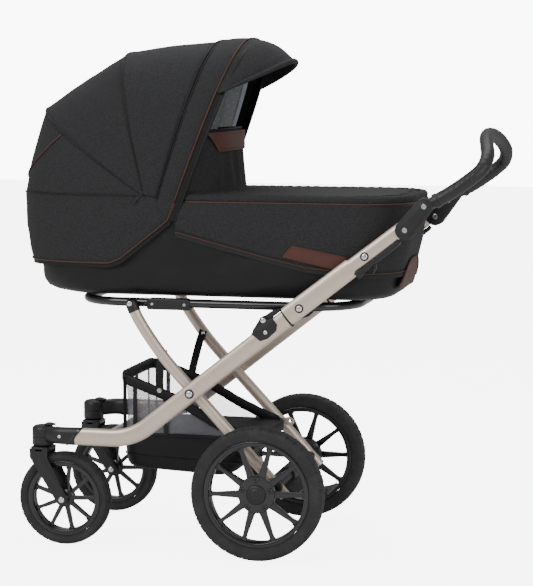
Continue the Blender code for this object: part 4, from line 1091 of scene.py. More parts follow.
def declareSheet(rows, wrap=False):
    lengths = [pathLength(row + row[:1] if wrap else row) for row in rows]


def trim(name, rows, look, body, thick, wrap=False):    # a narrow strip that is sewn on
    piece = cloth(name, rows, look, body, thick, wrap=wrap)
    declareSheet(rows, wrap)
    return piece


def cord(name, path, radius, look, body, closed=False):
    if closed:
        return place(name, skin(sweep(path, ring(radius, 10), closed=True), closed=True, caps=False), look, body)
    return place(name, skin(sweep(path, ring(radius, 10))), look, body)


def evaluatedMesh(holder):
    graph = bpy.context.evaluated_depsgraph_get()
    return bpy.data.meshes.new_from_object(holder.evaluated_get(graph), depsgraph=graph)


def puff(name, bm, look, body, replaces, cap=0.010, pressure=4.0, voxel=0.006):
    # voxel skin, blown up by cloth under pressure, each point held within the cap
    bmesh.ops.recalc_face_normals(bm, faces=bm.faces)
    mesh = bpy.data.meshes.new(name + "Seed")
    bm.to_mesh(mesh)
    bm.free()
    holder = bpy.data.objects.new(name + "Seed", mesh)
    bpy.context.collection.objects.link(holder)
    voxels = holder.modifiers.new("voxels", "REMESH")
    voxels.mode, voxels.voxel_size = "VOXEL", voxel
    mesh = evaluatedMesh(holder)
    holder.modifiers.clear()
    holder.data = mesh
    start = [v.co.copy() for v in mesh.vertices]
    step = holder.modifiers.new("cloth", "CLOTH")
    step.settings.use_pressure = True
    step.settings.uniform_pressure_force = pressure
    step.settings.effector_weights.gravity = 0
    step.settings.quality = 5
    step.settings.tension_stiffness = step.settings.compression_stiffness = 30
    for frameNumber in range(1, 21):
        bpy.context.scene.frame_set(frameNumber)
    blown = evaluatedMesh(holder)
    holder.modifiers.clear()
    bpy.context.scene.frame_set(1)
    for vertex, was, now in zip(mesh.vertices, start, blown.vertices):
        move = now.co - was
        vertex.co = was + move * min(1.0, cap / max(move.length, 1e-9))
    finer = holder.modifiers.new("finer", "SUBSURF")
    finer.levels = finer.render_levels = 1
    made = evaluatedMesh(holder)
    bpy.data.objects.remove(holder)
    made.materials.clear()
    made.materials.append(finish[look])
    piece = settle(name, made, body, replaces, 70)
    return piece


def overSurface(piece, points, lift=0.0):    # drops points straight down onto a piece
    found = []
    for x, y in points:
        hit, spot, normal, _ = piece.ray_cast(Vector((x, y, 1.3)), Vector((0, 0, -1)))
        if hit:
            found.append(spot + normal * lift)
    return found


tub = {"head": -0.530, "foot": 0.368, "top": 0.785,
       # height, inset at the head, inset at the foot, half width, corner
       "shape": [(0.5725, 0.092, 0.074, 0.120, 0.085), (0.5745, 0.070, 0.060, 0.143, 0.090),
                 (0.5800, 0.047, 0.046, 0.160, 0.096), (0.5880, 0.031, 0.037, 0.1715, 0.100),
                 (0.6000, 0.020, 0.031, 0.1785, 0.104), (0.6200, 0.013, 0.026, 0.1830, 0.108),
                 (0.7000, 0.006, 0.011, 0.1860, 0.112), (0.7850, 0.0, 0.0, 0.1870, 0.115)],
       "slope": [(-0.166, 0.726), (-0.039, 0.694), (0.060, 0.670), (0.157, 0.649), (0.268, 0.638), (0.369, 0.637)]}


def tubPlan(x0, x1, half, corner, count=24):    # the head end is rounder than the foot end
    big = min(half - 0.004, corner * 1.46)
    return (arc((x1 - corner, half - corner), corner, 0, 90, count) +
            arc((x0 + big, half - big), big, 90, 180, count) +
            arc((x0 + big, big - half), big, 180, 270, count) +
            arc((x1 - corner, corner - half), corner, 270, 360, count))


def tubSize(z, lift=0.0):
    head, foot, half, corner = (interp([(row[0], row[k]) for row in tub["shape"]], z) for k in (1, 2, 3, 4))
    return tub["head"] + head - lift, tub["foot"] - foot + lift, half + lift, corner + lift


def footPath(z, start, lift, count):   # from the near side round the foot to the far side
    _, x1, half, corner = tubSize(z, lift)
    near = arc((x1 - corner, corner - half), corner, 270, 360, 20)
    far = arc((x1 - corner, half - corner), corner, 0, 90, 20)
    return evenPath([(x, y, z) for x, y in [(start, -half), *near, *far, (start, half)]], count)


def softFold(p, amount):               # long slanting sags in the lower cloth
    side = p.y / 0.19
    return amount * (noise.noise(Vector((p.x * 5.0 + p.z * 9, side * 1.3, p.z * 16 - p.x * 6))) +
                     0.35 * noise.noise(Vector((p.x * 14 - p.z * 30, side * 3, p.z * 22 + p.x * 16))))


def outward(p, middleX=-0.08):
    way = Vector((max(0.0, abs(p.x - middleX) - 0.26) * math.copysign(1, p.x - middleX) * 3, p.y, 0))
    return way.normalized() if way.length > 1e-6 else Vector((0, 0, 1))


def closedPath(plan, z, count=220):
    return evenPath([(x, y, z) for x, y in plan + plan[:1]], count + 1)[:-1]


def tubShell():
    heights = [0.5725, 0.5735, 0.5750, 0.5770, 0.5800, 0.5840, 0.5880, 0.5940, 0.6000, 0.6070, 0.6150, 0.6250,
               0.6360, 0.6480, 0.6600, 0.6750, 0.6900, 0.7100, 0.7350, 0.7600, 0.7850]
    rings = []
    for z in heights:
        plan = closedPath(tubPlan(*tubSize(z)), z)
        loose = smoothStep((z - 0.574) / 0.03) * (1 - smoothStep((z - 0.70) / 0.06))
        rings.append([p + outward(p) * (softFold(p, 0.0066) - 0.0024) * loose for p in plan])
    inner = []
    for z in (0.7850, 0.7700, 0.7300, 0.6800, 0.6300, 0.6020, 0.5960):
        x0, x1, half, corner = tubSize(max(z, 0.62), -0.012)
        inset = 0.02 * max(0.0, (0.602 - z) / 0.006)
        inner.append(closedPath(tubPlan(x0 + inset, x1 - inset, half - inset, corner), z))
    place("cotTub", skin(rings + inner), "softshell", "carrycot", ("cot_tub",), smooth=60)
    lining = []
    for z in (0.7800, 0.7600, 0.7300, 0.6900, 0.6500, 0.6150, 0.6040):
        x0, x1, half, corner = tubSize(max(z, 0.62), -0.0150)
        plan = closedPath(tubPlan(x0, x1, half, corner), z)
        lining.append([p - outward(p) * 0.0012 * (1 + noise.noise(p * 26)) for p in plan])
    cloth("cotLining", lining, "lining", "carrycot", 0.0012, wrap=True)
    declareSheet(lining, True)
    rim = closedPath(tubPlan(*tubSize(tub["top"], -0.006)), 0.7862)
    cord("cotRimTape", rim, 0.0062, "softshell", "carrycot", closed=True)


def mattress():
    low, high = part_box("cot_mattress")
    rings = []
    for z, inset in ((low.z + 0.001, 0.010), (low.z + 0.006, 0.003), (low.z + 0.018, 0.0), (high.z - 0.010, 0.002),
                     (high.z - 0.003, 0.010)):
        plan = tubPlan(low.x + inset, high.x - 0.007 - inset, high.y - inset, 0.085 - inset)
        rings.append([(x, y, z) for x, y in plan])
    pad = puff("cotMattress", skin(rings), "lining", "carrycot", ("cot_mattress",), cap=0.005, voxel=0.007)
    edge = tubPlan(low.x + 0.03, high.x - 0.03, high.y - 0.03, 0.060, 30)
    seam = overSurface(pad, edge, 0.0002)
    stitches("mattressStitches", seam, "strip", "carrycot", 0.0075, 0.0045, 0.0012)


def sideCloth():
    count, layers = 201, 15
    top = footPath(0.788, -0.150, 0.0022, count)
    rows = []
    for i in range(layers):
        v, row = i / (layers - 1), []
        for j, at in enumerate(top):
            z = lerp(0.788, interp(tub["slope"], at.x), v)
            p = sidePoint(j, count, z)
            pull = math.sin(math.pi * v)
            ripple = noise.noise(Vector((p.x * 11 + p.z * 8, p.y * 4, p.z * 18)))
            p += outward(p) * pull * (0.0028 + 0.0016 * ripple)
            row.append(p)
        rows.append(row)
    piece = cloth("sideCloth", rows, "melange", "carrycot", 0.0016)
    declareSheet(rows)
    lower = rows[-1]
    cord("slopePiping", [p + outward(p) * 0.0014 for p in lower], 0.0015, "piping", "carrycot")
    band = [[p + Vector((0, 0, -drop)) + outward(p) * proud for p in lower]
            for drop, proud in ((0.001, 0.0), (0.0055, 0.0012), (0.0115, -0.0006))]
    trim("slopeBand", band, "webbing", "carrycot", 0.0012)
    stitches("slopeStitches", [p + Vector((0, 0, 0.0055)) + outward(p) * 0.0013 for p in lower], "softshell",
             "carrycot", 0.0045, 0.0030, 0.0008)


footCache = {}


def sidePoint(j, count, z):
    key = round(z, 4)
    if key not in footCache:
        footCache[key] = footPath(key, -0.150, 0.0024, count)
    return footCache[key][j].copy()


def sideSurface(x, z, lift):           # a point on the near side cloth
    half = tubSize(z, 0.0052 + lift)[2]
    return Vector((x, -half, z))


# corners as x, z: upper left, lower left, lower right, upper right
patch = {"corners": [(0.114, 0.697), (0.093, 0.671), (0.216, 0.646), (0.242, 0.675)], "round": 0.0035,
         "stitching": [(0.114, 0.6935), (0.0985, 0.6735), (0.2135, 0.6495), (0.2355, 0.6745), (0.114, 0.6935)]}


def leatherPatch():
    upperLeft, lowerLeft, lowerRight, upperRight = patch["corners"]
    rows = []
    for i in range(9):
        v, row = i / 8, []
        left = [lerp(a, b, v) for a, b in zip(upperLeft, lowerLeft)]
        right = [lerp(a, b, v) for a, b in zip(upperRight, lowerRight)]
        soft = patch["round"] * abs(2 * v - 1) ** 6        # the ends draw in at the corners
        for j in range(17):
            x = lerp(left[0] + soft, right[0] - soft, j / 16)
            row.append(sideSurface(x, lerp(left[1], right[1], j / 16), 0.0010))
        rows.append(row)
    trim("leatherPatch", rows, "tan", "carrycot", 0.0015)
    path = evenPath([sideSurface(x, z, 0.0026) for x, z in patch["stitching"]], 120)
    stitches("patchStitches", path, "tan", "carrycot", 0.0034, 0.0022, 0.0007)


def footPatch():                       # leather across the foot end, highest in the middle
    rows = []
    for i in range(9):
        v, row = i / 8, []
        for k in range(61):
            t = 2 * k / 60 - 1
            z = lerp(0.612 + 0.050 * (1 - abs(t) ** 3.5), 0.594, v)
            _, x1, half, corner = tubSize(z, 0.0064)
            y = t * (half - corner * (1 - math.sin(math.radians(13))))
            over = max(0.0, abs(y) - half + corner)
            row.append(Vector((x1 - corner + math.sqrt(corner * corner - over * over), y, z)))
        rows.append(row)
    trim("footPatch", rows, "tan", "carrycot", 0.0014)
    cord("footPiping", [p + Vector((0.0008, 0, 0)) for p in rows[0]], 0.0014, "piping", "carrycot")
    stitches("footStitches", [p + Vector((0.0010, 0, -0.004)) for p in rows[0][1:-1]], "piping", "carrycot", 0.0040,
             0.0026, 0.0008)


tubShell()
mattress()
sideCloth()
leatherPatch()
footPatch()
print("carrycot tub ready")

apron = {"head": -0.150, "foot": 0.371, "half": 0.1870, "corner": 0.112, "low": 0.7870, "high": 0.8010}


def apronPlan(inset, headCorner=0.034, count=16):
    a = apron
    half, foot, head = a["half"] - inset, a["foot"] - inset, a["head"] + inset
    big, small = a["corner"] - inset * 0.8, max(0.006, headCorner - inset * 0.8)
    return (arc((foot - big, half - big), big, 0, 90, count) +
            arc((head + small, half - small), small, 90, 180, 8) +
            arc((head + small, small - half), small, 180, 270, 8) +
            arc((foot - big, big - half), big, 270, 360, count))


def apronPad():
    low, high = apron["low"], apron["high"]
    levels = [(low + 0.0005, 0.010), (low + 0.003, 0.004), (lerp(low, high, 0.5), 0.002), (high - 0.003, 0.005),
              (high - 0.0005, 0.014), (high, 0.040)]
    rings = [[(x, y, z) for x, y in apronPlan(inset)] for z, inset in levels]
    pad = puff("apronPad", skin(rings), "melange", "carrycot", ("cot_apron",), cap=0.006, voxel=0.006)
    # thick rolled border along the sides and foot
    loop = [Vector((x, y, 0.7975)) for x, y in apronPlan(0.0070, count=30)]
    loop = evenPath(loop + loop[:1], 321)[:-1]
    def roll(t):
        pucker = 0.0005 * math.sin(t * 2 * math.pi * 74) + 0.0009 * noise.noise(Vector((t * 60, 3, 0)))
        return [(a * 1.0, b * 0.92) for a, b in ring(0.0098 + pucker, 20)]
    border = place("apronBorder", skin(sweep(loop, roll, side=(0, 0, 1), closed=True), closed=True, caps=False),
                   "melange", "carrycot", smooth=60)
    edge = [Vector((x, y, 0.7898)) for x, y in apronPlan(-0.0012, count=30)]
    cord("apronPiping", evenPath(edge + edge[:1], 301)[:-1], 0.0019, "piping", "carrycot", closed=True)
    # painted shade: a near-black cord under the piping stands for the shadow where the apron overlaps the cot side
    shadowGap = [Vector((x, y, 0.7868)) for x, y in apronPlan(0.0014, count=30)]
    cord("apronShadowGap", evenPath(shadowGap + shadowGap[:1], 301)[:-1], 0.0024, "softshell", "carrycot", closed=True)
    inner = [(x, y) for x, y in apronPlan(0.032, count=24) if x > -0.062]
    seams = overSurface(pad, inner, 0.0003)
    order = sorted(range(len(seams)), key=lambda k: math.atan2(seams[k].y, seams[k].x + 0.062))
    uSeam = evenPath([seams[k] for k in order], 220)
    cord("apronSeam", uSeam, 0.0011, "softshell", "carrycot")
    stitches("apronStitches", [p + Vector((0.0, 0.0, 0.0006)) + Vector((-p.x, -p.y, 0)).normalized() * 0.004
                               for p in uSeam], "softshell", "carrycot", 0.0045, 0.0030, 0.0009)


flap = {"low": 0.798, "high": 0.948, "half": 0.183, "folds": 0.0024,
        "leather": ((0.9425, 0.148), (0.8985, 0.116))}     # height and half length of the strip's edges


def flapDepth(t):                      # the flap bows forward and its ends turn back into the hood
    return -0.061 - 0.016 * t * t - 0.066 * abs(t) ** 5


def windFlap():
    rows, half = [], flap["half"]
    for i in range(25):
        v, row = i / 24, []
        z = lerp(flap["low"], flap["high"], v)
        for j in range(73):
            t = 2 * j / 72 - 1
            # the upper corners are round
            reach = half * (1 - 0.12 * max(0.0, (v - 0.80) / 0.20) ** 2.4)
            x = flapDepth(t) + 0.012 * (1 - v) * (1 - v)
            rise = math.sin(math.pi * min(1, v * 1.2))
            folds = flap["folds"] * math.sin(t * 17 + 1.2 * noise.noise(Vector((t * 3, v * 2, 0)))) * rise \
                + 0.0012 * noise.noise(Vector((t * 7, v * 5, 5)))
            row.append(Vector((x + folds, reach * t, z - 0.006 * (t ** 4) * v)))
        rows.append(row)
    piece = cloth("windFlap", rows, "melange", "carrycot", 0.0030, ("wind_flap",))
    declareSheet(rows)
    edge = [row[0] for row in rows] + rows[-1][1:-1] + [row[-1] for row in rows[::-1]]
    cord("flapBinding", evenPath(edge, 260), 0.0024, "softshell", "carrycot")
    roll = [Vector((flapDepth(t / 20) + 0.010, 0.178 * t / 20, 0.8035)) for t in range(-20, 21)]
    def rollShape(t):
        return [(a * 1.9, b) for a, b in ring(0.0060 + 0.0010 * noise.noise(Vector((t * 14, 0, 7))), 18)]
    place("flapRoll", skin(sweep(evenPath(roll, 120), rollShape, side=(1, 0, 0))), "melange", "carrycot", smooth=60)
    # leather strip along the top, narrower below
    strip = []
    for i in range(9):
        v = i / 8
        z, reach = (lerp(a, b, v) for a, b in zip(*flap["leather"]))
        row = []
        for j in range(49):
            y = reach * (2 * j / 48 - 1)
            t = y / half
            row.append(Vector((flapDepth(t) + 0.0064, y, z - 0.006 * (t ** 4))))
        strip.append(row)
    trim("flapLeather", strip, "tan", "carrycot", 0.0016)
    inset = [strip[1][j] for j in range(2, 47)] + [strip[i][46] for i in range(2, 7)] + \
        [strip[7][j] for j in range(46, 1, -1)] + [strip[i][2] for i in range(6, 0, -1)]
    stitches("flapStitches", [p + Vector((0.0011, 0, 0)) for p in inset], "piping", "carrycot", 0.0040, 0.0026,
             0.0008)


apronPad()
windFlap()
print("apron and flap ready")

# hoops: where each starts and tops out (x, z), its half width and how square it is
hoops = {"back": {"base": (-0.212, 0.797), "top": (-0.546, 0.802), "half": 0.1935, "power": 3.1},
         "second": {"base": (-0.226, 0.803), "top": (-0.506, 0.992), "half": 0.1930, "power": 2.15},
         "first": {"base": (-0.222, 0.806), "top": (-0.295, 1.118), "half": 0.1925, "power": 3.2},
         "rim": {"base": (-0.195, 0.790), "top": (-0.086, 1.142), "half": 0.1925, "power": 3.0},
         "edge": {"base": (-0.166, 0.749), "top": (-0.018, 1.147), "half": 0.1925, "power": 3.0},
         "lip": {"base": (-0.151, 0.746), "top": (-0.002, 1.143), "half": 0.1900, "power": 3.0}}
hoodPivot = Vector((-0.175, 0.0, 0.756))
hoodSpan = 121                         # points along each hoop


def hoopPath(kind, lift=0.0):
    hoop, dense = hoops[kind], []
    for n in range(361):
        angle = math.pi * n / 360
        c, s = -math.cos(angle), max(0.0, math.sin(angle))
        rise = s ** (2 / hoop["power"])
        y = math.copysign(abs(c) ** (2 / hoop["power"]), c) * (hoop["half"] + lift)
        x, z = (lerp(a, b, rise) for a, b in zip(hoop["base"], hoop["top"]))
        up = (Vector((x, 0, z)) - hoodPivot).normalized() * lift * rise
        dense.append(Vector((x, y, z)) + up)
    return evenPath(dense, hoodSpan)


def hoodRows(first, second, lift, across, bulge=0.0, start=0.0, stop=1.0, wrinkle=0.0013):
    one, two, rows = hoopPath(first, lift), hoopPath(second, lift), []
    for i in range(across + 1):
        s = lerp(start, stop, i / across)
        row = []
        for j, (a, b) in enumerate(zip(one, two)):
            p = a.lerp(b, s)
            t = j / (hoodSpan - 1)
            out = Vector((p.x - hoodPivot.x, p.y * 1.3, p.z - hoodPivot.z)).normalized()
            crown = math.sin(math.pi * t) ** 0.6
            slack = noise.noise(Vector((p.x * 16, p.y * 9, p.z * 16))) + \
                0.5 * noise.noise(Vector((p.x * 40 + p.z * 30, p.y * 22, p.z * 24)))
            row.append(p + out * (math.sin(math.pi * s) * (bulge * crown + wrinkle * slack)))
        rows.append(row)
    return rows


def hoodBlend(piece):
    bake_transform(piece)
    return piece


def hoodPanels():
    for panel, first, second, lift, bulge in (("rear", "back", "second", 0.0, 0.006),
                                              ("middle", "second", "first", 0.0012, 0.004),
                                              ("front", "first", "rim", 0.0024, 0.003)):
        rows = hoodRows(first, second, lift, 20, bulge)
        piece = cloth(f"hood_{panel}_cloth", rows, "melange", None, 0.0014, (f"hood_panel_{panel}",))
        declareSheet(rows)
        hoodBlend(piece)
        inside = hoodRows(first, second, lift - 0.0050, 16, bulge)
        inner = cloth(f"hood_{panel}_lining", inside, "lining", None, 0.0010)
        declareSheet(inside)
        hoodBlend(inner)
        welt = hoopPath(second, lift + 0.0012)
        hoodBlend(cord(f"hood_{panel}_seam", welt[1:-1], 0.0013, "softshell", None))
        for k, s in enumerate((0.965, 0.030)):
            line = hoodRows(first, second, lift + 0.0008, 1, bulge, s, s)[0]
            piece = stitches(f"hood_{panel}_stitches{k}", line[3:-3], "softshell", None, 0.0048, 0.0032, 0.0008)
            hoodBlend(piece)


def hoodRim():
    # padded band, its double seam, the piping and the dark lip
    rows, across = [], 14
    one, two = hoopPath("rim", 0.0030), hoopPath("edge", 0.0030)
    for i in range(across + 1):
        s, row = i / across, []
        for j, (a, b) in enumerate(zip(one, two)):
            p = a.lerp(b, s)
            out = Vector((p.x - hoodPivot.x, p.y * 1.4, p.z - hoodPivot.z)).normalized()
            crumple = 0.0008 * noise.noise(Vector((j * 0.22, s * 3, 2)))
            row.append(p + out * (0.0042 * math.sin(math.pi * s) ** 0.7 + crumple))
        rows.append(row)
    band = cloth("hoodRimBand", rows, "melange", None, 0.0030)
    hoodBlend(band)
    for k, s in enumerate((0.02, 0.12)):
        line = [a.lerp(b, s) for a, b in zip(hoopPath("rim", 0.0052), hoopPath("edge", 0.0052))]
        hoodBlend(cord(f"rimSeam{k}", line[1:-1], 0.0015, "softshell", None))
    hoodBlend(cord("rimPiping", hoopPath("edge", 0.0046), 0.0017, "piping", None))
    lip = []
    outerEdge, innerLip = hoopPath("edge", 0.0022), hoopPath("lip", 0.0012)
    for i in range(7):
        s = i / 6
        lip.append([a.lerp(b, s) for a, b in zip(outerEdge, innerLip)])
    hoodBlend(trim("rimLip", lip, "softshell", None, 0.0026))
    hoodBlend(cord("lipRoll", hoopPath("lip", 0.0), 0.0036, "softshell", None))
    # inside: the dark band behind the rim and a pale tape where the lining starts
    dark = hoodRows("rim", "edge", -0.0040, 8, 0.0, 0.70, 1.0, 0.0003)
    hoodBlend(trim("innerRimBand", dark, "softshell", None, 0.0012))
    tape = hoodRows("rim", "edge", -0.0052, 3, 0.0, 0.60, 0.76, 0.0)
    hoodBlend(trim("paleTape", tape, "strip", None, 0.0012))
    bridge = hoodRows("rim", "edge", -0.0036, 8, 0.0, -0.02, 0.66, 0.0014)
    hoodBlend(trim("liningEdge", bridge, "lining", None, 0.0010))


peak = {"from": 1.030, "reach": 0.076, "half": 0.176, "tipHeight": 1.100, "drop": 0.068, "crown": 0.012}


def visor():
    edge = hoopPath("edge", 0.0030)
    lowest = next(j for j, p in enumerate(edge) if p.z > peak["from"])
    back = evenPath(edge[lowest:-lowest], 81)
    rows, across = [], 16
    for i in range(across + 1):
        s, row = i / across, []
        for j, p in enumerate(back):
            t = 2 * j / 80 - 1
            side = abs(t)
            tip = Vector((lerp(peak["reach"], back[0].x + 0.010, side ** 2.6),
                          peak["half"] * t * (1 - 0.06 * (1 - side)),
                          peak["tipHeight"] - peak["drop"] * side ** 2.2))
            q = p.lerp(tip, s)
            q.z += peak["crown"] * math.sin(math.pi * s) * (1 - side ** 3)
            gather = 0.0011 * math.sin(t * 52 + 2 * noise.noise(Vector((t * 6, 0, 0)))) * math.exp(-s * 4.0)
            q.z += gather + 0.0012 * noise.noise(Vector((t * 5, s * 4, 9))) * math.sin(math.pi * s)
            row.append(q)
        rows.append(row)
    piece = cloth("visorCloth", rows, "melange", None, 0.0036, ("hood_visor",))
    hoodBlend(piece)
    tips = rows[-1]
    def rolled(t):
        return [(a, b * 1.15) for a, b in ring(lerp(0.0022, 0.0056, math.sin(math.pi * t) ** 0.5), 16)]
    hoodBlend(place("visorRoll", skin(sweep(tips, rolled)), "melange", None, smooth=60))
    line = [p + Vector((0, 0, 0.0026)) for p in rows[-3]]
    hoodBlend(stitches("visorStitches", line[2:-2], "softshell", None, 0.0045, 0.0030, 0.0009))


def skirtPath(z, lift):
    # the head-end outline continued forward to the hood's hem
    hoop = [Vector((p.x, p.y, z)) for p in hoopPath("back", lift)]
    half = hoops["back"]["half"] + lift
    return evenPath([Vector((-0.149, -half, z)), *hoop, Vector((-0.149, half, z))], 241)


skirt = {"top": 0.8015, "drawIn": 0.015, "wrinkle": 0.0036,     # hem as x, z along the side
         "hem": [(-0.560, 0.649), (-0.305, 0.650), (-0.279, 0.660), (-0.235, 0.694), (-0.192, 0.728),
                 (-0.166, 0.749), (-0.149, 0.786)],
         "vent": (0.13, 0.83, 25)}     # rise at the middle, further rise at its ends, points to each side


def hoodSkirt():
    rows = []
    for i in range(19):
        v, row = i / 18, []
        for p in skirtPath(0.0, 0.0):
            z = lerp(skirt["top"], interp(skirt["hem"], p.x), v)
            q = Vector((p.x, p.y, z))
            out = outward(q, -0.10)
            pull = math.sin(math.pi * v)
            slant = noise.noise(Vector((q.x * 9 + q.z * 26, q.y * 6, q.z * 7))) + \
                0.55 * noise.noise(Vector((q.x * 24 - q.z * 34, q.y * 13, q.z * 12)))
            q.x += skirt["drawIn"] * v * smoothStep((-0.30 - q.x) / 0.20)
            row.append(q + out * (0.0012 + 0.0040 * pull + skirt["wrinkle"] * pull * max(-0.9, slant) - 0.001 * v))
        rows.append(row)
    piece = cloth("hoodSkirt", rows, "melange", "carrycot", 0.0018, ("hood_skirt",))
    declareSheet(rows)
    low = rows[-1]
    cord("skirtPiping", [p + outward(p, -0.10) * 0.0012 for p in low], 0.0017, "piping", "carrycot")
    lip = [[p - outward(p, -0.10) * 0.0008 for p in low],
           [p + Vector((0.004 if p.x > -0.30 else 0.0, 0, -0.0105)) - outward(p, -0.10) * 0.0016 for p in low]]
    trim("skirtLip", lip, "softshell", "carrycot", 0.0020)
    cord("skirtTop", [p + outward(p, -0.10) * 0.0008 for p in rows[0]], 0.0012, "softshell", "carrycot")
    for side, end in sides:
        hub = [(0, side * 0.1872), (0.0165, side * 0.1872), (0.0175, side * 0.1880), (0.0175, side * 0.1905),
               (0.0160, side * 0.1915), (0, side * 0.1917)]
        place(f"hoodHub_{end}", turned(hub, (hoodPivot.x, 0, hoodPivot.z), 40), "moulded", "carrycot",
              (f"hood_hub_{end}",))
    # piped vent at the back of the hood
    vent, (lowest, rise, reach) = [], skirt["vent"]
    for n in range(81):
        t = 2 * n / 80 - 1
        s, j = lowest + rise * abs(t) ** 2.6, hoodSpan // 2 + reach * t
        a = hoodRows("back", "second", 0.0016, 1, 0.006, s, s)[0]
        vent.append(a[int(j)].lerp(a[int(j) + 1], j - int(j)))
    hoodBlend(cord("ventPiping", vent, 0.0018, "piping", None))


hoodPanels()
hoodRim()
visor()
hoodSkirt()
print("hood ready")

basketSize = {"front": -0.298, "rear": 0.026, "half": 0.133, "corner": 0.036,
              "rim": [(-0.300, 0.396), (-0.255, 0.382), (-0.204, 0.363), (-0.161, 0.347), (-0.085, 0.305),
                      (-0.031, 0.280), (0.028, 0.258)],
              "trayTop": 0.2500}


def basketPath(inset, rear=0.0, count=241):
    b = basketSize
    plan = roundedPlan(b["front"] + inset, b["rear"] - inset - rear, b["half"] - inset, b["corner"] - inset * 0.5)
    return evenPath([(x, y, 0) for x, y in plan + plan[:1]], count)[:-1]


def rimHeight(x):
    return interp(basketSize["rim"], x)


def basket():
    base = basketPath(0.0)
    top = [Vector((p.x, p.y, rimHeight(p.x) - 0.0135)) for p in base]
    def rimShape(t):
        return [(a * 0.0058, b * 0.0128 * (1 + 0.03 * math.sin(t * 240))) for a, b in
                [(math.copysign(abs(u) ** 0.8, u), math.copysign(abs(v) ** 0.8, v)) for u, v in ring(1.0, 20)]]
    rings = []
    for i, p in enumerate(top):
        before, after = top[i - 1], top[(i + 1) % len(top)]
        flat = Vector((after.x - before.x, after.y - before.y, 0)).normalized()
        out = Vector((flat.y, -flat.x, 0))
        rings.append([p + out * a + Vector((0, 0, b)) for a, b in rimShape(i / len(top))])
    rim = place("basketRim", skin(rings, closed=True, caps=False), "softshell", "lower_frame", ("basket",), smooth=60)
    stitches("basketRimStitches", [p + Vector((0, 0, -0.0085)) + (Vector((p.x + 0.13, p.y, 0)).normalized() * 0.0058)
                                   for p in top + top[:1]], "webbing", "lower_frame", 0.0052, 0.0034, 0.0009)
    rows = []
    for i in range(11):
        v, row = i / 10, []
        for p, t in zip(basketPath(0.0015), top):
            low = min(basketSize["trayTop"], t.z - 0.006)
            z = lerp(t.z - 0.004, low, v)
            q = Vector((p.x, p.y, z))
            depth = max(0.0, t.z - low - 0.02)
            out = Vector((p.x + 0.13, p.y * 1.6, 0)).normalized()
            row.append(q - out * math.sin(math.pi * v) * (0.06 * depth + 0.0008 * noise.noise(q * 60)))
        rows.append(row)
    net = cloth("basketNet", rows, "net", "lower_frame", 0.0006, wrap=True)
    declareSheet(rows, True)
    tray()
    straps(top)


# height, inset and how much further the rear end is drawn in
trayShape = {"outside": [(0.2560, 0.0, 0.0), (0.2545, -0.0014, 0.0), (0.2500, -0.0008, 0.002),
                         (0.2300, 0.0012, 0.014), (0.2060, 0.0030, 0.034), (0.1850, 0.0060, 0.052),
                         (0.1770, 0.0110, 0.060), (0.1730, 0.0200, 0.066)],
             "inside": [(0.1765, 0.0215, 0.066), (0.1850, 0.0120, 0.061), (0.2060, 0.0060, 0.037),
                        (0.2300, 0.0042, 0.017), (0.2535, 0.0028, 0.003)],
             "tilt": 0.05}


def trayHeight(z, x):                  # the tray hangs a little lower towards the rear
    return z - trayShape["tilt"] * (x + 0.30) * smoothStep((0.256 - z) / 0.07)


def tray():
    rings = []
    for z, inset, rear in trayShape["outside"]:
        ringNow = []
        for p in basketPath(inset, rear):
            top = trayHeight(z, p.x)
            top = min(top, rimHeight(p.x) - 0.008) if z > 0.25 else top
            sag = 0.0014 * noise.noise(Vector((p.x * 16, p.y * 16, z * 20)))
            out = Vector((p.x + 0.13, p.y, 0)).normalized()
            ringNow.append(Vector((p.x, p.y, top)) + out * sag)
        rings.append(ringNow)
    inner = []
    for z, inset, rear in trayShape["inside"]:
        inner.append([Vector((p.x, p.y, min(trayHeight(z, p.x), rimHeight(p.x) - 0.0095)))
                      for p in basketPath(inset, rear)])
    place("basketTray", skin(rings + inner), "softshell", "lower_frame", smooth=60)
    for z, name in ((0.2470, "upper"), (0.2040, "lower")):
        inset, rear = (-0.0016, 0.004) if name == "upper" else (0.0022, 0.036)
        path = [Vector((p.x, p.y, trayHeight(z, p.x))) for p in basketPath(inset, rear)]
        cord(f"trayWelt_{name}", path, 0.0014, "webbing", "lower_frame", closed=True)


def tapePath(name, points, width, body, thick=0.0014, side=(0, 1, 0), look="webbing"):
    flat = [(-width / 2, -thick / 2), (width / 2, -thick / 2), (width / 2, thick / 2), (-width / 2, thick / 2)]
    return place(name, skin(sweep(smoothPath(points, 8), flat, side=side)), look, body)


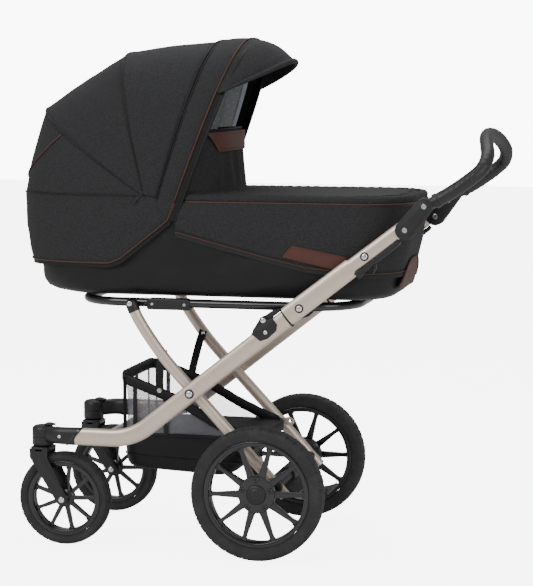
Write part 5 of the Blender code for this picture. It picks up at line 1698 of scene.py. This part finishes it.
def straps(top):
    for side, end in sides:
        # stiff ribs at the front corners
        for k, (x, y) in enumerate(((-0.2995, 0.098), (-0.2890, 0.126), (-0.2620, 0.1345), (-0.1900, 0.1345))):
            high, low = rimHeight(x) - 0.010, 0.252
            out = Vector((x + 0.20, y, 0)).normalized() * 0.0010
            points = [Vector((x + out.x, side * (y + out.y), lerp(high, low, n / 6))) for n in range(7)]
            across = (1, 0, 0) if k > 1 else ((0, 1, 0) if k == 0 else (0.6, side * -0.8, 0))
            tapePath(f"basketRib{k}_{end}", points, 0.0095, "lower_frame", side=across)
        # hangers from the legs to the rim, closed with press studs
        leg = middle(f"leg_{end}").y
        hang = [(-0.1835, leg - side * 0.0145, 0.4560), (-0.1920, side * 0.166, 0.4300),
                (-0.199, side * 0.152, 0.3920), (-0.203, side * 0.1395, 0.3640), (-0.203, side * 0.1380, 0.3500)]
        strap = tapePath(f"legStrap_{end}", hang, 0.0185, None, side=(1, 0, 0))
        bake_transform(strap)
        spot = [((-0.1840, leg - side * 0.0152, 0.4500), (0, -side, 0))]
        heads(f"strapRivet_{end}", "rivet", spot, 0.0050, "steel", "rear_legs")
        heads(f"strapStud_{end}", "snap", [((-0.2035, side * 0.1392, 0.3560), (0, side, 0.15))], 0.0056, "steel",
              "lower_frame")
    tongue = [(-0.2975, 0, 0.3880), (-0.2995, 0, 0.3760), (-0.3002, 0, 0.3560), (-0.3000, 0, 0.3450)]
    tapePath("frontTab", tongue, 0.0240, "lower_frame")
    heads("tabStud", "snap", [((-0.3012, 0, 0.3540), (-1, 0, 0))], 0.0056, "steel", "lower_frame")
    for side, end in sides:            # metal tabs that carry the tray's rear corners
        outline = [(0.018, 0.2420), (0.018, 0.2560), (0.038, 0.2600), (0.050, 0.2520), (0.048, 0.2420),
                   (0.034, 0.2380)]
        hole = [(0.0400 + a, 0.2500 + b) for a, b in ring(0.0032, 14)]
        tab = plate(outline, *sorted((side * 0.1345, side * 0.1368)), 0.0007, holes=[hole], segments=2)
        place(f"trayTab_{end}", tab, "champagne", "lower_frame")


basket()
print("basket ready")

view = {"azimuth": 14.05, "elevation": 7.128, "distance": 4.7806, "target": (-0.032, 0.0, 0.5), "lens": 127.06,
        "shift": (0.0327, 0.0505)}


def camera():
    a, e = math.radians(view["azimuth"]), math.radians(view["elevation"])
    # the camera stands ahead of and above the near side
    away = Vector((math.sin(a) * math.cos(e), -math.cos(a) * math.cos(e), math.sin(e)))
    data = bpy.data.cameras.new("camera")
    data.sensor_width, data.lens = 36, view["lens"]
    data.shift_x, data.shift_y = view["shift"]
    made = bpy.data.objects.new("camera", data)
    bpy.context.collection.objects.link(made)
    made.location = Vector(view["target"]) + away * view["distance"]
    made.rotation_euler = (-away).to_track_quat("-Z", "Y").to_euler()
    bpy.context.scene.camera = made


def lamp(name, place, size, power, aim=(0, 0, 0.5)):
    data = bpy.data.lights.new(name, "AREA")
    data.shape, data.size, data.size_y, data.energy = "RECTANGLE", size[0], size[1], power
    made = bpy.data.objects.new(name, data)
    bpy.context.collection.objects.link(made)
    made.location = place
    made.rotation_euler = (Vector(aim) - Vector(place)).to_track_quat("-Z", "Y").to_euler()


def studio():
    world = bpy.data.worlds.new("studio")
    bpy.context.scene.world = world
    world.use_nodes = True
    nodes = Nodes(world.node_tree)
    straight = nodes.add("ShaderNodeLightPath")          # the backdrop itself is brighter than its light
    sky = world.node_tree.nodes["Background"]
    sky.inputs["Color"].default_value = (1.0, 1.0, 1.0, 1)
    world.node_tree.links.new((straight * 9.0 + 0.50).socket, sky.inputs["Strength"])
    lamp("keyLight", (-1.6, -2.6, 2.6), (2.2, 1.6), 70)
    lamp("fillLight", (2.4, -1.8, 1.6), (1.6, 1.6), 28)
    lamp("topLight", (0.0, 0.6, 3.2), (2.4, 1.8), 45)
    def floorPaint(nodes, place):
        mottle = nodes.noise(place, 3, 2)
        seen = nodes.add("ShaderNodeLightPath")          # lifts the floor to the backdrop, lighting nothing
        return {"Base Color": nodes.tint(mottle, (0.86, 0.86, 0.87), (0.90, 0.90, 0.90)), "Roughness": 0.7,
                "Emission Color": nodes.tint(seen, (0.0, 0.0, 0.0), (1.0, 1.0, 1.0)), "Emission Strength": 6.0}
    bm = bmesh.new()
    bmesh.ops.create_grid(bm, x_segments=4, y_segments=4, size=14)
    mesh = bpy.data.meshes.new("floor")
    bm.to_mesh(mesh)
    bm.free()
    mesh.materials.append(finishOf("paleFloor", floorPaint))
    floor = bpy.data.objects.new("floor", mesh)
    bpy.context.collection.objects.link(floor)
    floor.location.z = -0.0005


camera()
studio()
print("stage ready")
